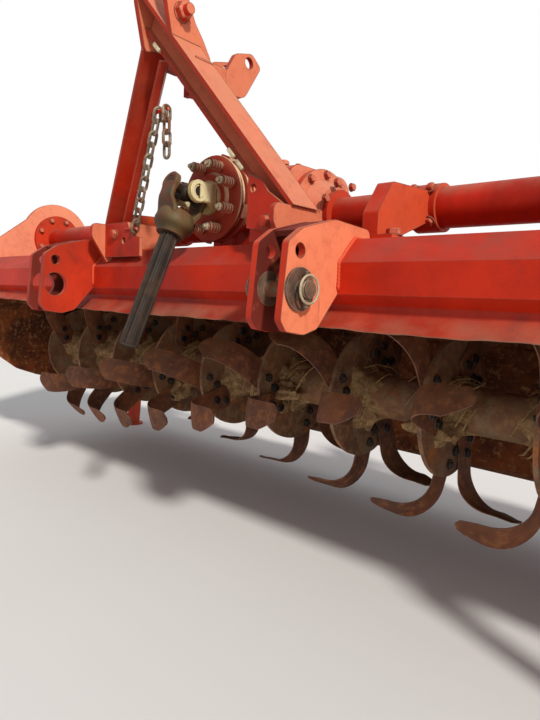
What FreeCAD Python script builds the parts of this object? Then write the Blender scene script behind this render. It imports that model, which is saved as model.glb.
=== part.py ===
"""Tractor-mounted rotary tiller, 2.6 m wide, parked on four folding stands.

Millimetres. X runs along the rotor, +X to the driven side; +Y points to the rear, so the
tractor stands on the -Y side; Z is up, with the floor at Z = 0. The model is drawn with
Y = 0 at the front edge of the hitch brackets and is moved at the end, so that the
origin is the middle of the footprint of its bounding box.
"""
import FreeCAD
import Part
import math
import os

V = FreeCAD.Vector
X_AXIS = V(1, 0, 0)
Y_AXIS = V(0, 1, 0)
Z_AXIS = V(0, 0, 1)

# Heights and depths that set the machine out
PIN_Z = 655.0              # lower link pins above the floor
PIN_Y = 42.0               # lower link pins behind the brackets' front edge
ROTOR_Z = 400.0            # rotor axis above the floor
HOOD_RADIUS = 300.0        # inside radius of the hood about the rotor axis
HALF_WIDTH = 1265.0        # inner face of a side plate

# Main beam, an eight-sided box
BEAM_FRONT_Y = 151.0
BEAM_BOTTOM_Z = 605.0
BEAM_DEPTH = 190.0
BEAM_HEIGHT = 148.0
BEAM_BEVEL = 46.0
BEAM_WALL = 8.0
BEAM_TOP_Z = BEAM_BOTTOM_Z + BEAM_HEIGHT
BEAM_REAR_Y = BEAM_FRONT_Y + BEAM_DEPTH

# Rotor axis and cross tubes, set out from the beam and the hood
BEAM_IN_HOOD = 41.0        # of the beam over the hood's circle, seen from above
ROTOR_Y = BEAM_REAR_Y + HOOD_RADIUS - BEAM_IN_HOOD
TUBE_Y = ROTOR_Y - HOOD_RADIUS / 3
TUBE_Z = ROTOR_Z + HOOD_RADIUS + 152.0

# Hood of bent sheet over the rotor
SHEET = 5.0
HOOD_FRONT_Y = 205.0
HOOD_BEND_Y = BEAM_REAR_Y - BEAM_BEVEL + 3.0
HOOD_END_ANGLE = 20.0      # above the horizontal, behind the rotor
LIP_DROP = 64.0            # hanging edge of the hood below the beam's front face
LIP_FLARE = 22.0
LIP_SHORT_SIDE_RISE = 30.0

# Side plates
PLATE = 10.0
HUMP_RADIUS = 146.0        # round the cross tubes' flanges
STUB_HOLE_RADIUS = 42.0

# Rotor
FLANGES_EACH_SIDE = 5
END_FLANGE_ROOM = 60.0     # between the last flange and the side plate
FLANGE_RADIUS = 165.0
FLANGE_THICK = 10.0
ROTOR_TUBE_RADIUS = 54.0
ROTOR_TUBE_WALL = 9.0
STUB_RADIUS = 30.0
STUB_LENGTH = 75.0
TINES_PER_SIDE = 3
FLANGE_TWIST = -12.0       # each flange is turned this much from the last one
TINE_PHASE = 151.0         # turn of the first flange's left-hand tines
TINE_STAGGER = 33.0        # from a left-hand tine to the right-hand one behind it
TINE_CLEARANCE = 28.0      # between the tines' tips and the hood
TINE_TIP_RADIUS = HOOD_RADIUS - TINE_CLEARANCE
TINE_ROOT_RADIUS = 96.0
TINE_LEAN = 30.0           # of the whole blade from its root's radius, in degrees
TINE_THICK = 9.0
TINE_WIDTH = 54.0
TINE_REACH = 150.0         # sideways reach of the blade
TINE_BEND_RADIUS = 84.0
TINE_SWEEP = 16.0          # how far the tip lies ahead of its root
TINE_TIP_WIDTH = 20.0
TINE_BELLY = 12.0          # of the edge that curves in to the tip, out of its chord
RUNNING_GAP = 0.3          # radial play of a pin or shaft in its bore

# Rotor bearing and side drive case
BEARING_RADIUS = 82.0
BEARING_LENGTH = 55.0
CASE_THICK = 78.0
CASE_TOP_RADIUS = 128.0
CASE_BOTTOM_RADIUS = 112.0
CASE_COVER_THICK = 12.0
CASE_COVER_INSET = 14.0

# Gearbox and cross tubes
GEARBOX_HALF_WIDTH = 130.0
GEARBOX_HALF_DEPTH = 128.0
GEARBOX_HALF_HEIGHT = 118.0
GEARBOX_CORNER = 44.0
GEARBOX_NECK_RADIUS = 62.0
GEARBOX_NECK_LENGTH = 70.0
INPUT_SHAFT_RADIUS = 22.0
SIDE_FLANGE_RADIUS = 120.0
SIDE_FLANGE_THICK = 16.0
DOME_BASE_RADIUS = 94.0
DOME_RADIUS = 72.0
DOME_LENGTH = 42.0
TUBE_RADIUS = 44.5
TUBE_WALL = 7.0
TUBE_FLANGE_RADIUS = 98.0
TUBE_FLANGE_THICK = 14.0
GEARBOX_FOOT = 14.0

# Saddle clamps between the beam and the cross tubes
CLAMP_X = 444.0
CLAMP_WIDTH = 60.0
CLAMP_BASE = (104.0, 58.0, 14.0)
CLAMP_POST = (34.0, 46.0)
STRAP = 8.0

# Lower hitch brackets
HITCH_SPREAD = 825.0
CLEVIS_PITCH = 65.0        # between the middles of a bracket's two plates
CLEVIS_PLATE = 14.0
LINK_HOLE_RADIUS = 30.0
UPPER_HOLE_RADIUS = 12.5
UPPER_HOLE_RISE = 63.0
WEB_THICK = 10.0
BRACKET_LAP = 50.0         # of the plates over the beam's flat top

# Lower link pin, near side only
PIN_RADIUS = 14.0
PIN_HEAD_RADIUS = 17.0
BUSH_COLLAR_RADIUS = 36.0
BUSH_COLLAR = 5.0
PIN_OVERHANG = 26.0
LINCHPIN_RADIUS = 5.0
LINCHPIN_LENGTH = 58.0

# Mast: its places lie on the front edge of a leg's outer wall
TOP_LINK_Z = 1320.0
HEAD_RISE = 148.0          # of the top link hole above the kink
MAST_FOOT_X = 384.0        # at the beam's top
MAST_FOOT_Y = 176.0
MAST_TOP_X = 54.0          # at the kink, where the head plates go on straight up
MAST_TOP_Y = 75.0
MAST_TOP_Z = TOP_LINK_Z - HEAD_RISE
LEG_WIDTH = 57.0
LEG_DEPTH = 77.0           # of the outer wall
LEG_WALL = 8.0
LEG_INNER_START = 19.0     # of the shallow inner wall behind the outer wall's front edge
LEG_INNER_DEPTH = 17.0
LEG_BEYOND = 240.0         # of the right leg past the kink
FOOT_INNER_X = 215.0
FOOT_OUTER_X = 325.0
FOOT_PLATE = 10.0
FOOT_FRONT_Y = 112.0       # of the side plates
FOOT_PLATE_Y = 152.0       # of the front plates
FOOT_REAR_Y = 262.0
FOOT_HEIGHT = 66.0
EAR_RISE = 160.0           # of the right foot's ear above the beam's top
HEAD_PLATE = 12.0
TOP_LINK_Y = 86.0
TOP_LINK_RADIUS = 12.8
HEAD_EYE_RADIUS = 34.0
HEAD_BOLT_RADIUS = 11.0
HEAD_BOLT_DROP = 97.0
HEAD_BOLT_Y = 99.0
HEAD_BOLT_REACH = 30.0
LUG_PLATE = 12.0
LUG_X = 45.0               # outer face of a rear lug
LUG_ARM = 42.0             # of the lugs' plate past the right lug, behind the leg
LUG_HOLE_Y = 310.0
LUG_HOLE_DROP = 127.0      # of the lugs' hole below the top link hole
LUG_HOLE_RADIUS = 13.0

# Check chain on the left mast leg
CHAIN_BAR = 7.0
CHAIN_INSIDE = 27.0
CHAIN_WIDTH = 26.0
CHAIN_PLAY = 0.4
CHAIN_LINKS = 11
CHAIN_TAIL_LINKS = 4
CHAIN_EYE_SHARE = 0.697    # height of the upper eye up the leg
CHAIN_EYE_RADIUS = 4.0
CHAIN_STANDOFF = 22.0
CHAIN_SET_BACK = 20.0      # behind the front edge of the outer wall
CHAIN_TAIL_STEP = 32.0
CHAIN_WAY = (-0.42, 0.09, -0.87)
CHAIN_TAIL_WAY = (0.0, 0.03, -1.0)

# Input clutch and universal joint
CROSS_Y = 165.0
CROSS_Z = 872.0
EAR_INSIDE = 37.0
EAR = 14.0
EAR_RADIUS = 25.0
CROSS_PIN_RADIUS = 11.0
CLUTCH_FRONT_Y = 244.0
CLUTCH_RADIUS = 101.0
CLUTCH_DISC = 7.0
CLUTCH_GAP = 6.0
CLUTCH_DISCS = 4
CLUTCH_SPRINGS = 8
CLUTCH_SPRING_CIRCLE = 77.0
CLUTCH_SPRING_RADIUS = 12.0
CLUTCH_SPRING_LENGTH = 38.0
YOKE_HUB_RADIUS = 40.0
YOKE_HUB_GAP = 62.0        # from the cross to the face of either hub
SHAFT_LENGTH = 376.0       # from the cross to the free end
SHAFT_LEAN = 23.0          # degrees forward of straight down
SPLINE_RADIUS = 20.5
SPLINE_ROOT_RADIUS = 17.0
SPLINE_KEYS = 6
SPLINE_KEY_WIDTH = 9.0
COLLAR_RADIUS = 36.0
COLLAR_LENGTH = 34.0

# Rear apron, its hinge and its pressure rods
HINGE_RADIUS_FROM_ROTOR = HOOD_RADIUS + 20.0
HINGE_ANGLE = 17.0
HINGE_PIN_RADIUS = 8.0
KNUCKLE_RADIUS = 17.0
KNUCKLE_GAP = 2.0
KNUCKLE = 60.0             # length of one knuckle
HINGE_SHARES = (-0.93, -0.44, 0.05, 0.32, 0.8)    # places of the knuckles on the half width
APRON_TOP_GAP = 24.0       # from the hinge axis to the sheet's upper edge
APRON_BOTTOM_Y = ROTOR_Y + HOOD_RADIUS + 68.0
APRON_BOTTOM_Z = 165.0
APRON_FLANGE = 34.0
APRON_SIDE_GAP = 18.0
ROD_X = 620.0
ROD_RADIUS = 9.0
ROD_EYE = (ROTOR_Y + HOOD_RADIUS + 120.0, ROTOR_Z - 50.0)
ROD_SLOT = (ROTOR_Y + HOOD_RADIUS - 40.0, ROTOR_Z + HOOD_RADIUS + 50.0)
ROD_EYE_RADIUS = 20.0
ROD_TAIL = 74.0
ROD_PIN_RADIUS = 8.0
ROD_SLOT_PLATE = 10.0
ROD_SLOT_SIZE = (26.0, 34.0)
SPRING_START = 118.0
SPRING_LENGTH = 232.0
SPRING_RADIUS = 24.0
SPRING_BAR_RADIUS = 4.0
STOP_NUT_RADIUS = 17.0
STOP_NUT = 14.0
APRON_LUG_UP = 52.0        # of a lug's foot on the apron above its pin
APRON_LUG_DOWN = 60.0
BRACKET_GAP = 72.0
BRACKET_PLATE = 8.0

# Folding parking stands
STAND_TUBE = 42.0
STAND_SIDE_GAP = 4.0
STAND_CHEEK = 8.0
STAND_PIN_RADIUS = 9.0
STAND_FOOT_RADIUS = 46.0
STAND_FOOT = 8.0
STAND_REACH = 58.0         # from the hinge to the far edge of its bracket's cheeks
REAR_STAND_Y = ROTOR_Y + HOOD_RADIUS + 60.0
STANDS = (
    # name, side, hinge y, hinge z, foot y, way that it folds, end of its bracket on the plate
    ("stand_front_left", -1, 95.0, 600.0, 135.0, -1, 236.0),
    ("stand_front_right", 1, 95.0, 600.0, 135.0, -1, 236.0),
    ("stand_rear_left", -1, REAR_STAND_Y, 480.0, REAR_STAND_Y - 35.0, 1, REAR_STAND_Y - 162.0),
    ("stand_rear_right", 1, REAR_STAND_Y, 480.0, REAR_STAND_Y - 35.0, 1, REAR_STAND_Y - 162.0),
)

BRACKET_TOP_Z = PIN_Z + 125.0
HINGE_Y = ROTOR_Y + HINGE_RADIUS_FROM_ROTOR * math.cos(math.radians(HINGE_ANGLE))
HINGE_Z = ROTOR_Z + HINGE_RADIUS_FROM_ROTOR * math.sin(math.radians(HINGE_ANGLE))
PLATE_OUTSIDE = HALF_WIDTH + PLATE


def rounded_wire(points, radii, x=0.0):
    """Closed outline in the plane at X = x, from (y, z) corners with a fillet radius each."""
    count = len(points)
    if not hasattr(radii, "__len__"):
        radii = [radii] * count
    corners = [V(x, y, z) for y, z in points]
    starts = []
    ends = []
    middles = []
    for i in range(count):
        here = corners[i]
        back = (corners[i - 1] - here)
        ahead = (corners[(i + 1) % count] - here)
        back.normalize()
        ahead.normalize()
        radius = radii[i]
        if radius <= 0:
            starts.append(here)
            ends.append(here)
            middles.append(None)
            continue
        half = back.getAngle(ahead) / 2
        run = radius / math.tan(half)
        bisector = back + ahead
        bisector.normalize()
        centre = here + bisector * (radius / math.sin(half))
        starts.append(here + back * run)
        ends.append(here + ahead * run)
        middles.append(centre - bisector * radius)
    edges = []
    for i in range(count):
        if middles[i] is not None:
            edges.append(Part.Arc(starts[i], middles[i], ends[i]).toShape())
        following = starts[(i + 1) % count]
        if (following - ends[i]).Length > 1e-6:
            edges.append(Part.LineSegment(ends[i], following).toShape())
    return Part.Wire(edges)


def plate_x(points, x0, x1, radii=0.0):
    """Flat plate between X = x0 and X = x1 with an outline of (y, z) corners."""
    face = Part.Face(rounded_wire(points, radii, x0))
    return face.extrude(V(x1 - x0, 0, 0))


def rod_x(y, z, radius, x0, x1):
    """Round bar along X."""
    return Part.makeCylinder(radius, abs(x1 - x0), V(min(x0, x1), y, z), X_AXIS)


def ring_x(y, z, outer, inner, x0, x1):
    """Round tube along X."""
    return rod_x(y, z, outer, x0, x1).cut(rod_x(y, z, inner, x0, x1))


def block(x0, x1, y0, y1, z0, z1):
    """Box between two corners."""
    low = V(min(x0, x1), min(y0, y1), min(z0, z1))
    return Part.makeBox(abs(x1 - x0), abs(y1 - y0), abs(z1 - z0), low)


def fused(shapes):
    """One solid from pieces that are welded together."""
    whole = shapes[0]
    for piece in shapes[1:]:
        whole = whole.fuse(piece)
    return whole.removeSplitter()


def mirrored(shape):
    """Copy on the other side of the middle plane."""
    return shape.mirror(V(0, 0, 0), X_AXIS)


def turned(shape, centre, axis, angle):
    """Copy turned about an axis through a point."""
    copy = shape.copy()
    copy.rotate(centre, axis, angle)
    return copy


def tangent_angle(y, z, radius):
    """Angle about the rotor axis where a line from (y, z) touches a circle, over the top."""
    away = math.hypot(y - ROTOR_Y, z - ROTOR_Z)
    direction = math.atan2(z - ROTOR_Z, y - ROTOR_Y)
    return direction - math.acos(radius / away)


def on_rotor_circle(radius, angle, x=0.0):
    """Point at an angle (radians) about the rotor axis."""
    return V(x, ROTOR_Y + radius * math.cos(angle), ROTOR_Z + radius * math.sin(angle))


def beam_outline(inset):
    """Eight corners of the beam's section, moved inwards by inset."""
    y0 = BEAM_FRONT_Y + inset
    y1 = BEAM_REAR_Y - inset
    z0 = BEAM_BOTTOM_Z + inset
    z1 = BEAM_TOP_Z - inset
    cut = BEAM_BEVEL - inset * (2 - math.sqrt(2))
    return [(y0, z0 + cut), (y0, z1 - cut), (y0 + cut, z1), (y1 - cut, z1),
            (y1, z1 - cut), (y1, z0 + cut), (y1 - cut, z0), (y0 + cut, z0)]


def main_beam():
    """Hollow eight-sided beam from side plate to side plate."""
    outside = plate_x(beam_outline(0), -HALF_WIDTH, HALF_WIDTH)
    inside = plate_x(beam_outline(BEAM_WALL), -HALF_WIDTH, HALF_WIDTH)
    return outside.cut(inside)


def hood_shell():
    """Sheet under the beam that rises to the rotor's circle and runs over it to the rear."""
    outer = HOOD_RADIUS + SHEET
    touch = tangent_angle(HOOD_BEND_Y, BEAM_BOTTOM_Z, outer)
    end = math.radians(HOOD_END_ANGLE)
    middle = (touch + end) / 2
    bend_top = V(0, HOOD_BEND_Y, BEAM_BOTTOM_Z)
    touch_top = on_rotor_circle(outer, touch)
    touch_under = on_rotor_circle(HOOD_RADIUS, touch)
    slope = touch_top - bend_top
    level = BEAM_BOTTOM_Z - SHEET
    reach = (level - touch_under.z) / slope.z
    bend_under = touch_under + slope * reach
    edges = [
        Part.LineSegment(V(0, HOOD_FRONT_Y, BEAM_BOTTOM_Z), bend_top).toShape(),
        Part.LineSegment(bend_top, touch_top).toShape(),
        Part.Arc(touch_top, on_rotor_circle(outer, middle), on_rotor_circle(outer, end)).toShape(),
        Part.LineSegment(on_rotor_circle(outer, end), on_rotor_circle(HOOD_RADIUS, end)).toShape(),
        Part.Arc(on_rotor_circle(HOOD_RADIUS, end), on_rotor_circle(HOOD_RADIUS, middle),
                 touch_under).toShape(),
        Part.LineSegment(touch_under, bend_under).toShape(),
        Part.LineSegment(bend_under, V(0, HOOD_FRONT_Y, level)).toShape(),
        Part.LineSegment(V(0, HOOD_FRONT_Y, level), V(0, HOOD_FRONT_Y, BEAM_BOTTOM_Z)).toShape(),
    ]
    face = Part.Face(Part.Wire(edges))
    face.translate(V(-HALF_WIDTH, 0, 0))
    return face.extrude(V(2 * HALF_WIDTH, 0, 0))


def front_lip():
    """Flared edge of the hood that hangs below the beam, with its worn short end."""
    bevel_low = BEAM_BOTTOM_Z + BEAM_BEVEL
    foot_z = bevel_low - LIP_DROP
    points = [
        (BEAM_FRONT_Y, bevel_low),
        (BEAM_FRONT_Y + SHEET, bevel_low - SHEET),
        (BEAM_FRONT_Y + SHEET, bevel_low - LIP_DROP * 0.45),
        (BEAM_FRONT_Y + SHEET - LIP_FLARE, foot_z),
        (BEAM_FRONT_Y - LIP_FLARE, foot_z),
        (BEAM_FRONT_Y, bevel_low - LIP_DROP * 0.45),
    ]
    strip = plate_x(points, -HALF_WIDTH, HALF_WIDTH, [0, 0, 30.0, 0, 0, 25.0])
    wedge_start = -HITCH_SPREAD / 2
    face = Part.Face(Part.makePolygon([
        V(wedge_start, 0, foot_z), V(-HALF_WIDTH, 0, foot_z + LIP_SHORT_SIDE_RISE),
        V(-HALF_WIDTH, 0, foot_z - PLATE), V(wedge_start, 0, foot_z - PLATE),
        V(wedge_start, 0, foot_z)]))
    return strip.cut(face.extrude(V(0, BEAM_REAR_Y, 0)))


def side_plate(side):
    """End plate of the hood with its hump round the cross tube."""
    inner = side * HALF_WIDTH
    outer = side * PLATE_OUTSIDE
    outline = [
        (BEAM_FRONT_Y - 6, BEAM_BOTTOM_Z - 12),
        (BEAM_FRONT_Y - 6, BEAM_TOP_Z - 8),
        (BEAM_FRONT_Y + BEAM_BEVEL, BEAM_TOP_Z + 34),
        (TUBE_Y - HUMP_RADIUS * 0.86, TUBE_Z + HUMP_RADIUS * 0.5),
        (TUBE_Y + HUMP_RADIUS * 0.86, TUBE_Z + HUMP_RADIUS * 0.5),
        (ROTOR_Y + 0.72 * HOOD_RADIUS, ROTOR_Z + 0.83 * HOOD_RADIUS),
        (ROTOR_Y + 0.94 * HOOD_RADIUS, ROTOR_Z + 0.4 * HOOD_RADIUS),
        (ROTOR_Y + 0.92 * HOOD_RADIUS, ROTOR_Z + 0.1 * HOOD_RADIUS),
        (ROTOR_Y + 0.52 * HOOD_RADIUS, ROTOR_Z - 0.38 * HOOD_RADIUS),
        (ROTOR_Y - 0.1 * HOOD_RADIUS, ROTOR_Z - 0.46 * HOOD_RADIUS),
        (ROTOR_Y - 0.6 * HOOD_RADIUS, ROTOR_Z - 0.39 * HOOD_RADIUS),
        (ROTOR_Y - 0.9 * HOOD_RADIUS, ROTOR_Z - 0.28 * HOOD_RADIUS),
        (ROTOR_Y - 1.16 * HOOD_RADIUS, ROTOR_Z - 0.08 * HOOD_RADIUS),
    ]
    radii = [30, 30, 40, 0, 0, 80, 60, 50, 90, 160, 120, 90, 60]
    plate = plate_x(outline, inner, outer, radii)
    plate = plate.fuse(rod_x(TUBE_Y, TUBE_Z, HUMP_RADIUS, inner, outer)).removeSplitter()
    return plate.cut(rod_x(ROTOR_Y, ROTOR_Z, STUB_HOLE_RADIUS, inner, outer))


def rotor_bearing():
    """Round bearing housing on the left plate, open to the stub shaft."""
    start = -PLATE_OUTSIDE
    base = ring_x(ROTOR_Y, ROTOR_Z, BEARING_RADIUS, STUB_RADIUS + RUNNING_GAP,
                  start - BEARING_LENGTH * 0.35, start)
    barrel = ring_x(ROTOR_Y, ROTOR_Z, BEARING_RADIUS * 0.72, STUB_RADIUS + RUNNING_GAP,
                    start - BEARING_LENGTH, start)
    cap = rod_x(ROTOR_Y, ROTOR_Z, BEARING_RADIUS * 0.6,
                start - BEARING_LENGTH - SHEET, start - BEARING_LENGTH)
    return fused([base, barrel, cap])


def case_outline(inset):
    """Corner points of the drive case: two circles joined by their tangents."""
    top = rod_x(TUBE_Y, TUBE_Z, CASE_TOP_RADIUS - inset, 0, 1)
    low = rod_x(ROTOR_Y, ROTOR_Z, CASE_BOTTOM_RADIUS - inset, 0, 1)
    dy = ROTOR_Y - TUBE_Y
    dz = ROTOR_Z - TUBE_Z
    length = math.hypot(dy, dz)
    along = math.atan2(dz, dy)
    lean = math.acos((CASE_TOP_RADIUS - CASE_BOTTOM_RADIUS) / length)
    corners = []
    for centre_y, centre_z, radius, sign in (
            (TUBE_Y, TUBE_Z, CASE_TOP_RADIUS - inset, 1),
            (ROTOR_Y, ROTOR_Z, CASE_BOTTOM_RADIUS - inset, 1),
            (ROTOR_Y, ROTOR_Z, CASE_BOTTOM_RADIUS - inset, -1),
            (TUBE_Y, TUBE_Z, CASE_TOP_RADIUS - inset, -1)):
        angle = along + sign * lean
        corners.append((centre_y + radius * math.cos(angle), centre_z + radius * math.sin(angle)))
    web = plate_x(corners, 0, 1)
    face_shape = fused([top, low, web])
    return max(face_shape.Faces, key=lambda face: face.Area * (abs(face.CenterOfMass.x) < 1e-6))


def drive_case():
    """Side drive case from the cross tube down to the rotor."""
    face = case_outline(0)
    face.translate(V(PLATE_OUTSIDE, 0, 0))
    body = face.extrude(V(CASE_THICK, 0, 0))
    bore = rod_x(ROTOR_Y, ROTOR_Z, STUB_RADIUS + RUNNING_GAP,
                 PLATE_OUTSIDE, HALF_WIDTH + STUB_LENGTH + 2)
    return body.cut(bore)


def drive_case_cover():
    """Flat cover bolted on the outside of the drive case."""
    face = case_outline(CASE_COVER_INSET)
    face.translate(V(PLATE_OUTSIDE + CASE_THICK, 0, 0))
    cover = face.extrude(V(CASE_COVER_THICK, 0, 0))
    end = PLATE_OUTSIDE + CASE_THICK + CASE_COVER_THICK
    cap = rod_x(ROTOR_Y, ROTOR_Z, BEARING_RADIUS * 0.75, end, end + SHEET * 2)
    return fused([cover, cap])


def gearbox():
    """Cast housing with its input neck, input shaft and feet on the hood."""
    half_y = GEARBOX_HALF_DEPTH
    half_z = GEARBOX_HALF_HEIGHT
    outline = [(TUBE_Y - half_y, TUBE_Z - half_z), (TUBE_Y - half_y, TUBE_Z + half_z),
               (TUBE_Y + half_y, TUBE_Z + half_z), (TUBE_Y + half_y, TUBE_Z - half_z)]
    body = plate_x(outline, -GEARBOX_HALF_WIDTH, GEARBOX_HALF_WIDTH, GEARBOX_CORNER)
    neck_front = TUBE_Y - half_y - GEARBOX_NECK_LENGTH
    neck = Part.makeCylinder(GEARBOX_NECK_RADIUS, GEARBOX_NECK_LENGTH + 10,
                             V(0, neck_front, CROSS_Z), Y_AXIS)
    clutch_back = clutch_back_y()
    shaft = Part.makeCylinder(INPUT_SHAFT_RADIUS, neck_front - clutch_back + 5,
                              V(0, clutch_back, CROSS_Z), Y_AXIS)
    top = Part.makeCylinder(half_y * 0.62, GEARBOX_FOOT,
                            V(0, TUBE_Y, TUBE_Z + half_z), Z_AXIS)
    feet_bottom = ROTOR_Z + HOOD_RADIUS + SHEET
    pieces = [body, neck, shaft, top]
    for side in (-1, 1):
        pieces.append(block(side * GEARBOX_HALF_WIDTH * 0.55, side * GEARBOX_HALF_WIDTH,
                            TUBE_Y - half_y * 0.7, TUBE_Y + half_y * 0.9,
                            feet_bottom - 40, TUBE_Z - half_z))
    whole = fused(pieces)
    whole = whole.cut(rod_x(ROTOR_Y, ROTOR_Z, HOOD_RADIUS + SHEET,
                            -GEARBOX_HALF_WIDTH - 1, GEARBOX_HALF_WIDTH + 1))
    return max(whole.cut(hood_shell()).Solids, key=lambda solid: solid.Volume)


def gearbox_side_cover(side):
    """Bolted side flange of the gearbox with its domed neck, ready for the cross tube."""
    start = side * GEARBOX_HALF_WIDTH
    flange = rod_x(TUBE_Y, TUBE_Z, SIDE_FLANGE_RADIUS, start, start + side * SIDE_FLANGE_THICK)
    base = V(start + side * SIDE_FLANGE_THICK, TUBE_Y, TUBE_Z)
    dome = Part.makeCone(DOME_BASE_RADIUS, DOME_RADIUS, DOME_LENGTH, base, X_AXIS * side)
    return fused([flange, dome])


def cross_tube(side):
    """Tube from the gearbox to the side plate, with a bolted flange at its outer end."""
    start = side * (GEARBOX_HALF_WIDTH + SIDE_FLANGE_THICK + DOME_LENGTH)
    end = side * HALF_WIDTH
    tube = ring_x(TUBE_Y, TUBE_Z, TUBE_RADIUS, TUBE_RADIUS - TUBE_WALL, start, end)
    flange = ring_x(TUBE_Y, TUBE_Z, TUBE_FLANGE_RADIUS, TUBE_RADIUS - TUBE_WALL,
                    end - side * TUBE_FLANGE_THICK, end)
    collar = ring_x(TUBE_Y, TUBE_Z, DOME_RADIUS - 8, TUBE_RADIUS - TUBE_WALL,
                    start, start + side * TUBE_FLANGE_THICK)
    return fused([tube, flange, collar])


def tube_clamp(x):
    """Saddle that stands on the beam and holds a cross tube with a strap."""
    length, depth, base_thick = CLAMP_BASE
    half = CLAMP_WIDTH / 2
    base_front = BEAM_FRONT_Y + BEAM_BEVEL + BRACKET_LAP + 2
    base = block(x - length / 2, x + length / 2, base_front, base_front + depth,
                 BEAM_TOP_Z, BEAM_TOP_Z + base_thick)
    outer = TUBE_RADIUS + STRAP
    post_width, post_depth = CLAMP_POST
    arm_points = [
        (base_front + 6, BEAM_TOP_Z + base_thick),
        (base_front + 6, TUBE_Z - 42),
        (base_front + 6 + post_depth, TUBE_Z + 22),
        (TUBE_Y - TUBE_RADIUS * 0.7, TUBE_Z + 30),
        (TUBE_Y - TUBE_RADIUS * 0.7, TUBE_Z - 30),
        (base_front + 30 + post_depth, BEAM_TOP_Z + base_thick),
    ]
    arm = plate_x(arm_points, x - post_width / 2, x + post_width / 2, [0, 12, 12, 0, 0, 20])
    strap = ring_x(TUBE_Y, TUBE_Z, outer, TUBE_RADIUS, x - half, x + half)
    whole = fused([base, arm, strap])
    return whole.cut(rod_x(TUBE_Y, TUBE_Z, TUBE_RADIUS, x - length, x + length))


def hitch_outline():
    """Outline of a bracket plate, whose rear follows the beam's front and upper bevel."""
    return [
        (0, PIN_Z - 52), (15, PIN_Z - 70), (60, PIN_Z - 76), (96, PIN_Z - 66),
        (BEAM_FRONT_Y, BEAM_BOTTOM_Z + BEAM_BEVEL),
        (BEAM_FRONT_Y, BEAM_TOP_Z - BEAM_BEVEL),
        (BEAM_FRONT_Y + BEAM_BEVEL, BEAM_TOP_Z),
        (BEAM_FRONT_Y + BEAM_BEVEL + BRACKET_LAP, BEAM_TOP_Z),
        (BEAM_FRONT_Y + BEAM_BEVEL + BRACKET_LAP - 4, BRACKET_TOP_Z - 6),
        (PIN_Y + 92, BRACKET_TOP_Z), (PIN_Y + 6, PIN_Z + 101), (12, PIN_Z + 76),
    ]


def hitch_bracket(side):
    """Clevis for a lower link: two drilled plates on the front and top of the beam."""
    middle = side * HITCH_SPREAD / 2
    radii = [14, 12, 30, 16, 0, 0, 0, 0, 14, 40, 20, 14]
    plates = []
    for offset in (-CLEVIS_PITCH / 2, CLEVIS_PITCH / 2):
        x0 = middle + offset - CLEVIS_PLATE / 2
        plate = plate_x(hitch_outline(), x0, x0 + CLEVIS_PLATE, radii)
        plate = plate.cut(rod_x(PIN_Y, PIN_Z, LINK_HOLE_RADIUS, x0, x0 + CLEVIS_PLATE))
        plate = plate.cut(rod_x(PIN_Y, PIN_Z + UPPER_HOLE_RISE, UPPER_HOLE_RADIUS,
                                x0, x0 + CLEVIS_PLATE))
        plates.append(plate)
    return plates


def bracket_web(side):
    """Bent web between the upper edges of a bracket's two plates."""
    middle = side * HITCH_SPREAD / 2
    inside = (CLEVIS_PITCH - CLEVIS_PLATE) / 2
    rear_y = BEAM_FRONT_Y + BEAM_BEVEL + BRACKET_LAP - 10
    web_points = [
        (PIN_Y + 88, BRACKET_TOP_Z - 2), (rear_y, BRACKET_TOP_Z - 8),
        (rear_y, BRACKET_TOP_Z - 8 - WEB_THICK), (PIN_Y + 90, BRACKET_TOP_Z - 2 - WEB_THICK),
        (PIN_Y + 10, PIN_Z + 89), (PIN_Y + 6, PIN_Z + 98),
    ]
    return plate_x(web_points, middle - inside, middle + inside)


def link_pin():
    """Lower link pin in its two bushes, kept by a linchpin at its outer end."""
    middle = HITCH_SPREAD / 2
    half = (CLEVIS_PITCH + CLEVIS_PLATE) / 2
    pieces = [rod_x(PIN_Y, PIN_Z, PIN_RADIUS, middle - half - PIN_OVERHANG * 0.5,
                    middle + half + PIN_OVERHANG)]
    for way in (-1, 1):
        face = middle + way * half
        inner = face - way * CLEVIS_PLATE
        pieces.append(rod_x(PIN_Y, PIN_Z, LINK_HOLE_RADIUS - RUNNING_GAP, inner, face))
        pieces.append(rod_x(PIN_Y, PIN_Z, BUSH_COLLAR_RADIUS, face + way * RUNNING_GAP,
                            face + way * (RUNNING_GAP + BUSH_COLLAR)))
        pieces.append(rod_x(PIN_Y, PIN_Z, LINK_HOLE_RADIUS - RUNNING_GAP, face,
                            face + way * (RUNNING_GAP + BUSH_COLLAR)))
    head = middle - half - PIN_OVERHANG * 0.5
    pieces.append(rod_x(PIN_Y, PIN_Z, PIN_HEAD_RADIUS + 6, head - 8, head))
    linch_x = middle + half + PIN_OVERHANG - 9
    pieces.append(Part.makeCylinder(LINCHPIN_RADIUS, LINCHPIN_LENGTH,
                                    V(linch_x, PIN_Y, PIN_Z - LINCHPIN_LENGTH / 2), Z_AXIS))
    return fused(pieces)


def mast_axis(side):
    """Foot and kink of the front edge of a mast leg's outer wall."""
    return (V(side * MAST_FOOT_X, MAST_FOOT_Y, BEAM_TOP_Z),
            V(side * MAST_TOP_X, MAST_TOP_Y, MAST_TOP_Z))


def in_leg_frame(outline, side, start, length):
    """Bar along a mast leg with an outline of (outward, backward) corners from its edge."""
    foot, top = mast_axis(side)
    along = top - foot
    along.normalize()
    backward = Y_AXIS - along * Y_AXIS.dot(along)
    backward.normalize()
    across = backward.cross(along)
    corners = [foot + across * (side * out) + backward * back + along * start
               for out, back in outline]
    face = Part.Face(Part.makePolygon(corners + corners[:1]))
    return face.extrude(along * length)


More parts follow.
